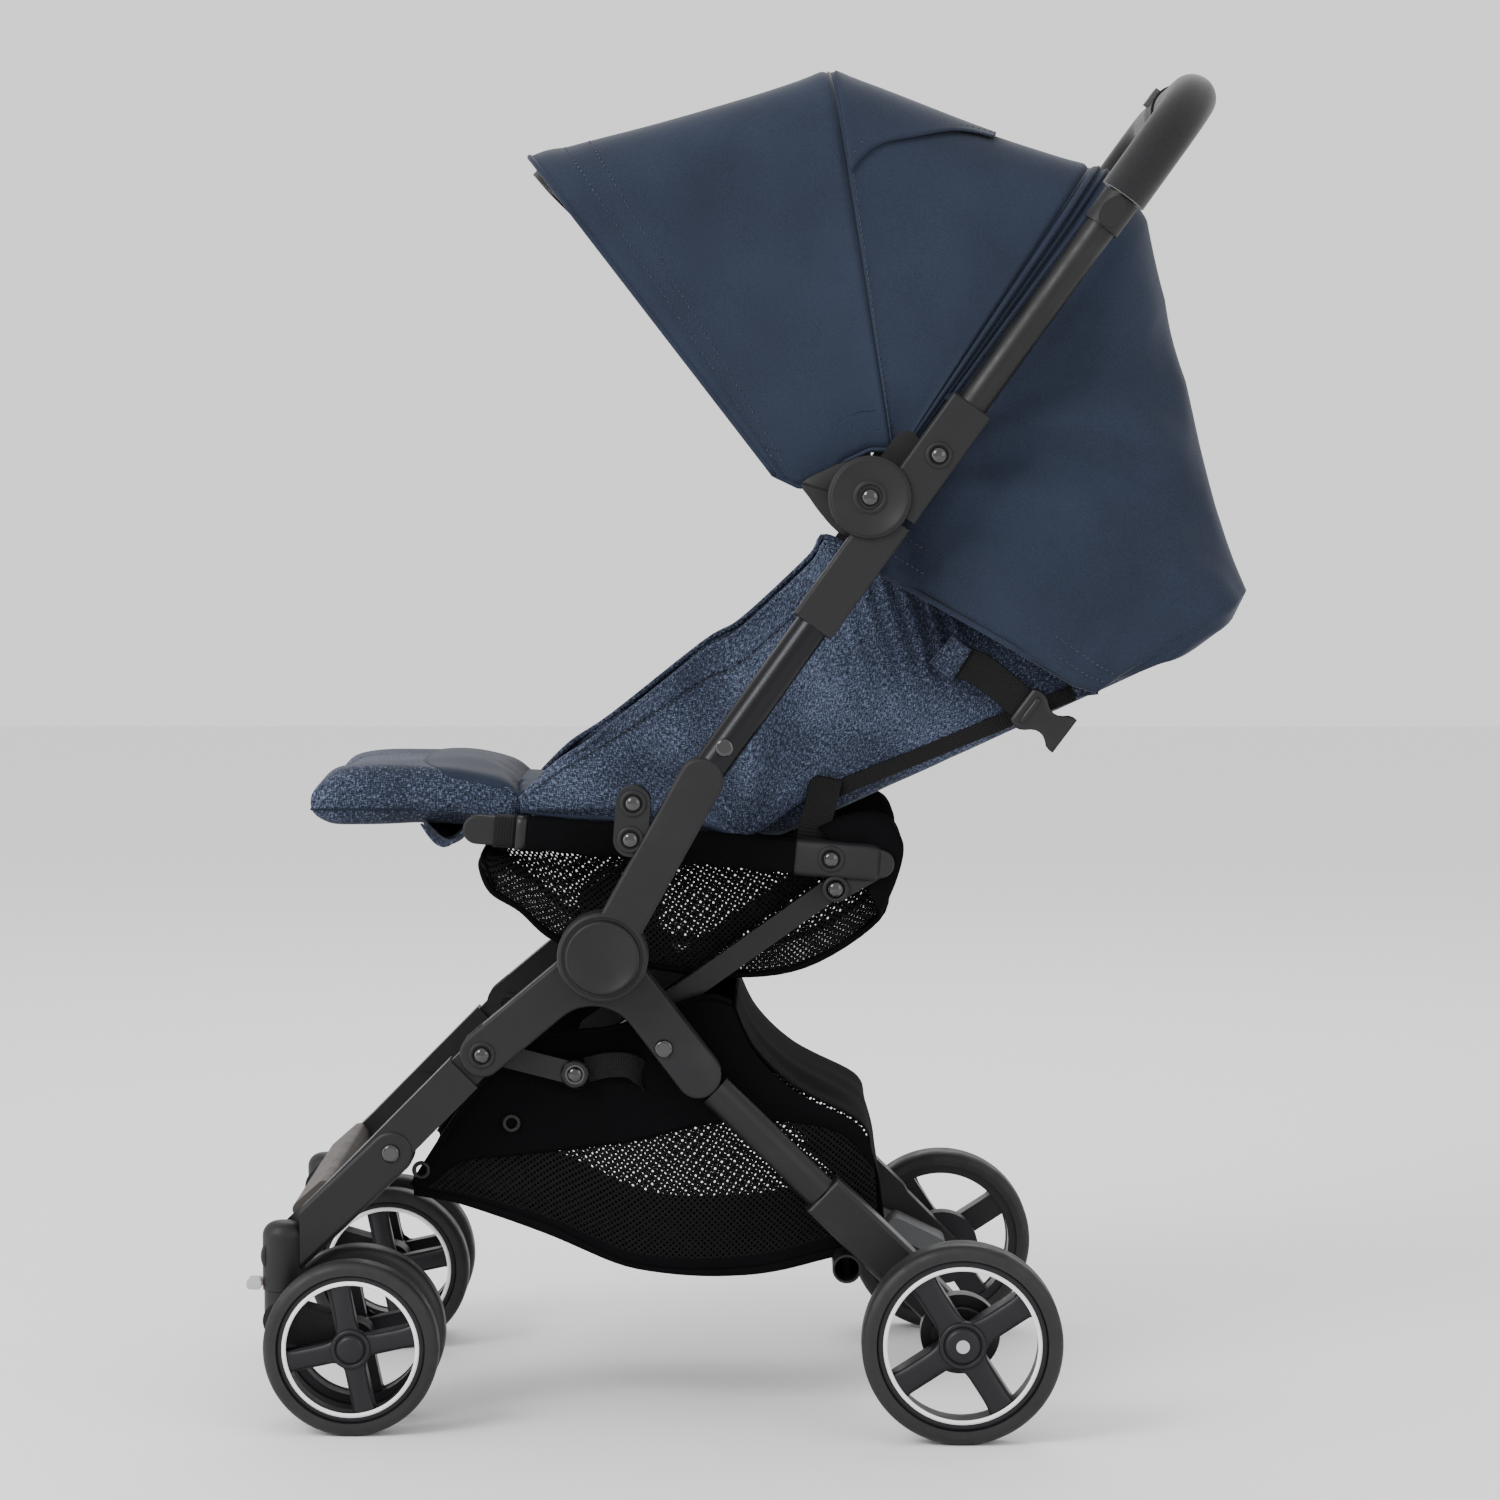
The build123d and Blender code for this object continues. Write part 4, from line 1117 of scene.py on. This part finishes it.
def pocket():
    """The net pocket under the seat: net sides and belly, with a bound rim."""
    line = smooth_points(POCKET_EDGE, 6)
    belly = []
    for k, (x, z) in enumerate(line):
        row = []
        for j in range(45):
            v = j / 44
            y = -POCKET_HALF + 2 * POCKET_HALF * v
            sag = 7 * math.sin(math.pi * v) * math.sin(math.pi * k / (len(line) - 1))
            fold = 1.5 * math.sin(v * 26 + k * 0.3)
            row.append(place(near(SEAT_PIVOT, x, z - sag - fold * 0.6), y))
        belly.append(row)
    cloth = thicken(grid("net_pocket_belly", belly, M["net"]), 0.9)
    sides = []
    for sign in (-1, 1):
        rows = []
        for k, (x, z) in enumerate(line):
            top = (x, -20 - 2 * (x + 118) / 305)
            row = []
            for v in spread(0, 1, 24):
                swell = 5 * math.sin(math.pi * v)
                y = sign * (POCKET_HALF + swell + 1.2 * math.sin(x * 0.13 + 3 * v))
                row.append(place(near(SEAT_PIVOT, *mix((x, z), top, v)), y))
            rows.append(row)
        sides.append(grid("net_side", rows, M["net" if sign < 0 else "net_far"]))
    side_cloths = [thicken(s, 0.9) for s in sides]
    binding = []
    for sign in (-1, 1):
        pts = [place(near(SEAT_PIVOT, x, z), sign * (POCKET_HALF + 1)) for x, z in line]
        binding.append(rod("pocket_binding", pts, 2.6, M["black_cloth"], 8))
    front = []
    for u in spread(0, 1, 10):
        row = []
        for v in spread(0, 1, 40):
            x = -117 - 2 * math.sin(math.pi * v) + 9 * u
            y = -POCKET_HALF - 6 + (2 * POCKET_HALF + 12) * v
            row.append(place(near(SEAT_PIVOT, x, -19 - 25 * u), y))
        front.append(row)
    lip = thicken(grid("pocket_front_band", front, M["black_cloth"]), 1.4)
    trim = join("net_pocket_trim", binding + [lip])
    names = ("net_pocket_side_right", "net_pocket_side_left")
    for obj, name in zip(side_cloths, names):
        obj.name = name
    for obj in [cloth, trim] + side_cloths:
        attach(obj, "seat_frame")
        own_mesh(obj)
    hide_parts("mesh_pocket")


def pouch_corner():
    """The black cloth that wraps over the rear end of a rail, with its two cheeks."""
    line = smooth_points([(140, 6), (171, 14), (194, 9), (204, -8), (200, -34), (188, -62)], 8)
    rows = []
    for k, (x, z) in enumerate(line):
        row = []
        for v in spread(0, 1, 30):
            wave = 1.6 * math.sin(k * 0.35 + v * 7) + wrinkle((x * MM, v, z * MM), 22, 1.6, 4)
            cheek = max(0.0, 0.34 - v, v - 0.66) / 0.34
            px, pz = mix((x, z), (166, -24), 0.85 * cheek)
            bulge = (3 if v > 0.5 else -3) * math.sin(math.pi * cheek)
            y = 116 + 26 * min(1, max(0, (v - 0.3) / 0.4)) + bulge
            row.append(place(near(SEAT_PIVOT, px + 0.3 * wave, pz + 0.6 * wave), -y - 0.5 * wave))
        rows.append(row)
    return thicken(grid("pouch_corner", rows, M["black_cloth"]), 2.0)


def plate(name, outline, y0, y1, material, soft=1.2):
    """A flat moulding from a side-view outline, with rounded corners and softened faces."""
    line = outline[-1:] + outline + outline[:2]
    round_line = smooth_points(line, 6)[6:-6]
    centre = tuple(sum(p[k] for p in round_line) / len(round_line) for k in (0, 1))
    rows = []
    for y, inset in ((y0, 0), (y1 - soft, 0), (y1 - soft * 0.3, soft * 0.5), (y1, soft)):
        row = []
        for p in round_line:
            reach = math.dist(p, centre)
            row.append(place(mix(p, centre, inset / reach), -y))
        rows.append(row)
    rows.append([place(mix(p, centre, 0.5), -y1 - 0.2) for p in round_line])
    rows.append([place(mix(p, centre, 0.98), -y1 - 0.3) for p in round_line])
    return grid(name, rows, material, close=True)


def hinge_plates():
    """The moulded hinge housing between the hood's hem and the knee."""
    outline = [(-50, 10), (-34, 20), (-14, 27), (10, 24), (22, 0),
               (8, -22), (-14, -30), (-28, -22), (-42, -4)]
    piece = plate("hood_hinge_housing", [near(KNEE, *p) for p in outline], 172, 183.2, M["moulding"])
    ride(both_sides(piece, "hood_hinge_housing"), "hood_base")


def rails():
    for obj in both_sides(pouch_corner(), "pouch_corner"):
        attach(obj, "seat_frame")
    for name, piece in rail_cover().items():
        ride(both_sides(piece, name), "seat_frame")


# --- basket ---------------------------------------------------------------------------

# Side lines of the basket, beside the hub, from the front backwards.
BASKET_TOP = [(-148, -182), (-104, -116), (-60, -72), (11, -60), (72, -38), (96, -42)]
BASKET_NET_TOP = [(-146, -188), (-110, -164), (-68, -159), (17, -149), (87, -134), (170, -138)]
BASKET_HEM = [(-147, -184), (-110, -192), (-46, -212), (24, -243), (103, -246), (170, -232), (208, -222)]
BASKET_FOOT = [(-147, -190), (-110, -197), (-46, -219), (24, -246), (104, -251), (170, -238), (208, -227)]
BASKET_REAR = [(98, -49), (113, -80), (144, -110), (193, -136), (202, -159), (209, -189), (208, -227)]
BASKET_HALF = 142.0


def band(name, low, high, material, steps, swell, seed):
    """A sheet on the basket's side between two lines."""
    rows = []
    for u in spread(0, 1, 90):
        a, b = along_points(low, u), along_points(high, u)
        row = []
        for v in spread(0, 1, steps):
            x, z = mix(a, b, v)
            out = swell * math.sin(math.pi * v) * math.sin(math.pi * u)
            out += wrinkle((x * MM, 0, z * MM), 46, 2.4, seed)
            row.append(place(near(HUB, x, z), -(BASKET_HALF - 3 + out)))
        rows.append(row)
    return grid(name, rows, material)


def basket():
    """The shopping basket: cloth upper sides, net below, a hem, floor, front and rear cloth."""
    net_low = smooth_points(BASKET_HEM, 8)
    net_top = smooth_points(BASKET_NET_TOP + [(205, -170)], 8)
    top = smooth_points(BASKET_TOP, 8)
    rear = smooth_points([(205, -170)] + BASKET_REAR[3::-1] + [(96, -46)], 6)
    upper_edge = top + [p for p in rear[::-1]]
    upper = thicken(band("basket_upper", net_top, upper_edge, M["black_cloth"], 26, 3.5, 11), 1.4)
    side_net = thicken(band("basket_net", net_low, net_top, M["net"], 34, 6.5, 11), 0.9)
    hem_rows = band("basket_hem", smooth_points(BASKET_FOOT, 8), net_low, M["black_cloth"], 6, 1.0, 11)
    hem = thicken(hem_rows, 2.2)
    hem_line = smooth_points([(x, z + 12) for x, z in BASKET_HEM], 8)
    hem_top = thicken(band("basket_hem_band", net_low, hem_line, M["black_cloth"], 5, 1.6, 11), 2.0)
    edge_line = [place(near(HUB, x, z), -(BASKET_HALF - 2)) for x, z in top]
    edge = rod("basket_edge", edge_line, 2.2, M["black_cloth"], 8)
    seam_places = [near(HUB, *along_points(net_top, u)) for u in spread(0.02, 0.98, 60)]
    seam = stitches("basket_seam", [place(p, -(BASKET_HALF + 1.5)) for p in seam_places],
                    M["black_cloth"], thick=0.5)
    eyelets = []
    for dx, dz in ((-141, -170), (-72, -134)):
        centre = near(HUB, dx, dz)
        pts = [place((centre[0] + 5.5 * math.cos(a), centre[1] + 5.5 * math.sin(a)), -(BASKET_HALF + 0.5))
               for a in (2 * math.pi * k / 20 for k in range(20))]
        eyelets.append(rod("eyelet", pts, 1.7, M["cap"], 8, closed=True))
    trim = join("basket_trim", [hem, hem_top, edge, seam] + eyelets)
    floor_line = BASKET_FOOT + BASKET_REAR[::-1][1:]
    floor_rows = []
    line = smooth_points(floor_line, 7)
    for k, (x, z) in enumerate(line):
        share = k / (len(line) - 1)
        row = []
        for v in spread(0, 1, 40):
            y = (BASKET_HALF - 4) * (2 * v - 1)
            sag = 6 * math.sin(math.pi * v) * math.sin(math.pi * min(1, share * 1.6)) if share < 0.62 else 0
            row.append(place(near(HUB, x, z + 3 - sag + wrinkle((x * MM, y * MM, 0), 55, 2.2, 7)), y))
        floor_rows.append(row)
    floor = thicken(grid("basket_floor_and_rear", floor_rows, M["black_cloth"]), 1.6)
    front_rows = []
    for u in spread(0, 0.4, 8):
        line_place = near(HUB, -147 + 40 * u, -186 + 62 * u)
        front_rows.append([place(line_place, (BASKET_HALF - 4) * (2 * v - 1)) for v in spread(0, 1, 30)])
    front = thicken(grid("basket_front", front_rows, M["black_cloth"]), 1.4)
    loop = [(8, 2, 147), (26, 6, 149), (42, 5, 148), (50, -2, 142), (46, -9, 136), (30, -12, 134)]
    loop_line = [tuple(place(near(STRUT_FOOT, x, z), -y)) for x, z, y in loop]
    loop = strap("basket_loop", smooth_points(loop_line, 6), 19, 1.8, M["webbing"], across=(0.15, 0, 1))
    ride(both_sides(loop, "basket_loop"), "chassis")
    uppers = both_sides(upper, "basket_upper")
    nets = both_sides(side_net, "basket_net")
    nets[1].data.materials[0] = M["net_far"]
    trims = both_sides(trim, "basket_trim")
    for obj in uppers + nets + trims + [floor, front]:
        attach(obj, "chassis")
        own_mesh(obj)
    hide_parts("basket")


# --- wheels and hardware ----------------------------------------------------------------


def turned(name, centre, profile, material, sides=64, rim=0.0, face=0.0):
    """A turned solid about Y, on the right, from (radius, sideways place) pairs in mm.

    The pairs are counted from rim and face."""
    turns = [2 * math.pi * k / sides for k in range(sides)]
    rows = []
    for dr, dy in profile:
        r, y = rim + dr, face + dy
        rows.append([place((centre[0] + r * math.cos(a), centre[1] + r * math.sin(a)), -y) for a in turns])
    return grid(name, rows, material, close=True)


def spoke(centre, angle, inner_r, outer_r, width, y, material):
    """A raised, rounded spoke that widens at both ends."""
    c, s = math.cos(math.radians(angle)), math.sin(math.radians(angle))
    rows = []
    for k in range(17):
        f = k / 16
        r = inner_r + (outer_r - inner_r) * f
        half = width / 2 * (1 + 0.35 * (2 * f - 1) ** 4)
        row = []
        for j in range(13):
            b = math.pi * j / 12
            w, h = half * math.cos(b), 4.0 * math.sin(b) ** 0.7
            row.append(place((centre[0] + r * c - w * s, centre[1] + r * s + w * c), -(y + h)))
        rows.append(row)
    return grid("spoke", rows, material)


RING = [(-1.6, -2.8), (-1.5, -1.6), (0, -1.3), (1.5, -1.6), (1.6, -2.8)]
RIM_LIP = [(-7.5, -6), (-7.2, -3.2), (-5.5, -2.3), (-1.5, -2.2), (0, -3.2)]
HUB_FACE = [(3, -6), (2.6, -2.2), (1.2, -1.4), (-0.6, -1.5),
            (-1.0, -2.6), (-1.6, -2.6), (-2.0, -0.8), (-4.5, 0.4)]
CASTER_MIDDLE = 172.0


def wheel_dress(centre, rim_r, ring_r, hub_r, face, angles, width):
    """What shows on a wheel's outer face: ring, spokes, hub cap and rim lip."""
    parts = [turned("ring", centre, RING, M["ring"], 96, ring_r, face)]
    for angle in angles:
        parts.append(spoke(centre, angle, hub_r - 2, rim_r - 5, width, face - 7.5, M["wheel"]))
    hub = [(hub_r + dr, dy) for dr, dy in HUB_FACE] + [(0.1, 0.9)]
    parts.append(turned("hub_face", centre, hub, M["wheel"], face=face))
    parts.append(turned("rim_lip", centre, RIM_LIP, M["wheel"], 96, rim_r, face))
    return parts


def wheels():
    """Rings, spokes and caps on the wheels' outer faces."""
    face = -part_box("right_rear_tyre")[0].y / MM
    made = join("rear_wheel_dress", wheel_dress(REAR_AXLE, 64, 57.5, 15, face, (122, 33, 213, 302), 18))
    for obj, body in zip(both_sides(made, "rear_wheel_dress"), ("right_rear_wheel", "left_rear_wheel")):
        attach(obj, body)
    face = -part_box("right_front_tyres")[0].y / MM
    dress = wheel_dress(FRONT_AXLE, 56, 50, 12.3, face, (100, 12, 192, 282), 15)
    made = join("front_wheel_dress", dress)
    twin = made.data.copy()
    twin.transform(Matrix.Translation((0, -2 * CASTER_MIDDLE * MM, 0)) @ Matrix.Scale(-1, 4, (0, 1, 0)))
    twin.flip_normals()
    second = bpy.data.objects.new("front_wheel_dress_inner", twin)
    bpy.context.scene.collection.objects.link(second)
    for piece, name in ((made, "front_wheel_dress"), (second, "front_wheel_dress_inner")):
        for obj, body in zip(both_sides(piece, name), ("right_front_wheels", "left_front_wheels")):
            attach(obj, body)


def screw_head(centre, y, radius, material):
    """A domed rivet in a recessed washer."""
    washer = [(4, -0.4), (3.7, 0.9), (1.2, 1.3), (0.7, 0.4)]
    dome = [(radius, 0), (radius * 0.97, 1.4), (radius * 0.8, 2.8), (radius * 0.5, 3.7), (0.05, 4.1)]
    return [turned("washer", centre, washer, M["moulding"], 40, radius, y),
            turned("dome", centre, dome, material, 40, face=y)]


KNOB_RINGS = [(29.2, -3), (29, 0.2), (27.2, 0.8), (26.4, 0.1), (13, 0.2),
              (12.4, 0), (12.0, 1.4), (9.6, 1.9), (9.0, 0.2)]
KNOB_DOME = [(6.5, 0), (6.3, 1.4), (5, 2.7), (3, 3.4), (0.05, 3.7)]
HUB_RING = [(33.2, -6), (33, -4.2), (30.4, -3.4), (29.2, -4.4), (28.6, -5)]
HUB_STEP = [(27.4, -1), (26.8, 0.5), (25.6, 0.9), (24.8, 0.3), (0.05, 0.35)]


def hardware():
    """Knobs, caps and rivets that stand on the frame."""
    face = -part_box("knee_pins")[0].y / MM
    knob = [turned("knob_rings", KNEE, KNOB_RINGS, M["moulding"], face=face),
            turned("knob_dome", KNEE, KNOB_DOME, M["gloss"], 40, face=face)]
    ride(both_sides(join("knee_knob", knob), "knee_knob"), "push_frame")
    face = -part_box("hub_caps")[0].y / MM
    cover = [turned("hub_ring", HUB, HUB_RING, M["moulding"], face=face),
             turned("hub_step", HUB, HUB_STEP, M["cap"], face=face)]
    ride(both_sides(join("hub_cover", cover), "hub_cover"), "push_frame")
    for name, anchor, offset, y, body in (
        ("upper_knuckle_rivet", KNEE, (51, 31), 211.2, "handle"),
        ("bracket_rivet_a", SEAT_PIVOT, (2, 27), 207.2, "push_frame"),
        ("bracket_rivet_b", SEAT_PIVOT, (0, 0), 207.2, "push_frame"),
        ("rail_end_rivet", SEAT_PIVOT, (150, -19), 155.4, "seat_frame"),
        ("strut_top_rivet", STRUT_TOP, (0, 0), 152.2, "seat_frame"),
        ("front_leg_rivet", LEG_PIVOT, (0, 0), 181.2, "chassis"),
        ("strut_foot_knob", STRUT_FOOT, (0, 0), 158.0, "chassis"),
    ):
        piece = join(name, screw_head(near(anchor, *offset), y, 6.2, M["gloss"]))
        ride(both_sides(piece, name), body)


# --- finishes on CAD nodes --------------------------------------------------------------

FINISH = {
    "frame": ["right_rear_leg", "left_rear_leg", "rear_cross_bar", "handle_tube", "rear_bow",
              "mid_bow", "front_bow", "seat_struts", "right_front_leg", "left_front_leg"],
    "moulding": ["right_leg_casting", "left_leg_casting", "right_hub_housing", "left_hub_housing",
                 "right_lower_knuckle", "left_lower_knuckle", "right_upper_knuckle",
                 "left_upper_knuckle", "handle_collars", "button_housing",
                 "caster_heads", "right_caster_fork", "left_caster_fork", "knee_pins", "hood_carriers",
                 "right_seat_rail", "left_seat_rail"],
    "cap": ["hub_caps"],
    "gloss": ["frame_rivets", "tube_rivets", "leg_rivets", "leg_pins"],
    "wheel": ["right_rear_rim", "left_rear_rim", "right_front_rims", "left_front_rims", "brake_drums"],
    "tyre": ["right_rear_tyre", "left_rear_tyre", "right_front_tyres", "left_front_tyres"],
    "steel": ["rear_axles", "hub_pins"],
    "gunmetal": ["right_lower_tube", "left_lower_tube"],
    "grey": ["brake_pedal", "fold_button"],
    "locks": ["right_swivel_lock", "left_swivel_lock"],
    "brace": ["front_brace"],
    "foam": ["grips"],
}


def finishes():
    for key, nodes in FINISH.items():
        for node in nodes:
            obj = frame["nodes"][node]
            obj.data.materials.clear()
            obj.data.materials.append(M[key])


# --- studio -----------------------------------------------------------------------------


def studio():
    """Pale floor and backdrop, soft lights, and the camera."""
    mesh = bpy.data.meshes.new("floor")
    size = 9.0
    corners = [(-size, -size, 0), (size, -size, 0), (size, size, 0), (-size, size, 0)]
    mesh.from_pydata(corners, [], [(0, 1, 2, 3)])
    paint = Shader("floor_paint", (0.88, 0.88, 0.88), 0.7)
    paint.bump(paint.noise(3, 2), 0.02, 0.001)
    floor = new_object("floor", mesh, paint.material)
    world = bpy.data.worlds.new("studio")
    bpy.context.scene.world = world
    world.use_nodes = True
    world.node_tree.nodes["Background"].inputs[0].default_value = (1.0, 1.0, 1.0, 1)
    world.node_tree.nodes["Background"].inputs[1].default_value = 1.25
    for name, where, at, power, width in (
        ("key", (-2.2, -2.4, 2.6), (0, 0, 0.6), 105, 1.5),
        ("fill", (2.4, -2.4, 1.4), (0, 0, 0.6), 22, 2.0),
        ("rim", (0.2, 2.4, 2.8), (0, 0, 0.7), 34, 1.6),
        ("low", (-2.8, -0.6, 0.8), (0, 0, 0.4), 14, 1.4),
    ):
        data = bpy.data.lights.new(name, "AREA")
        data.energy = power
        data.size = width
        lamp = bpy.data.objects.new(name, data)
        lamp.location = where
        lamp.rotation_euler = (Vector(at) - Vector(where)).to_track_quat("-Z", "Y").to_euler()
        bpy.context.scene.collection.objects.link(lamp)
    data = bpy.data.cameras.new("camera")
    data.lens = 111.3
    data.sensor_width = 36.0
    camera = bpy.data.objects.new("camera", data)
    camera.location = (0.0206, -3.65, 0.732)
    camera.rotation_euler = (math.radians(90 - 3.606), 0, math.radians(0.309))
    bpy.context.scene.collection.objects.link(camera)
    bpy.context.scene.camera = camera


finishes()
hood()
wings()
pads()
rails()
pocket()
basket()
wheels()
hardware()
hinge_plates()
studio()
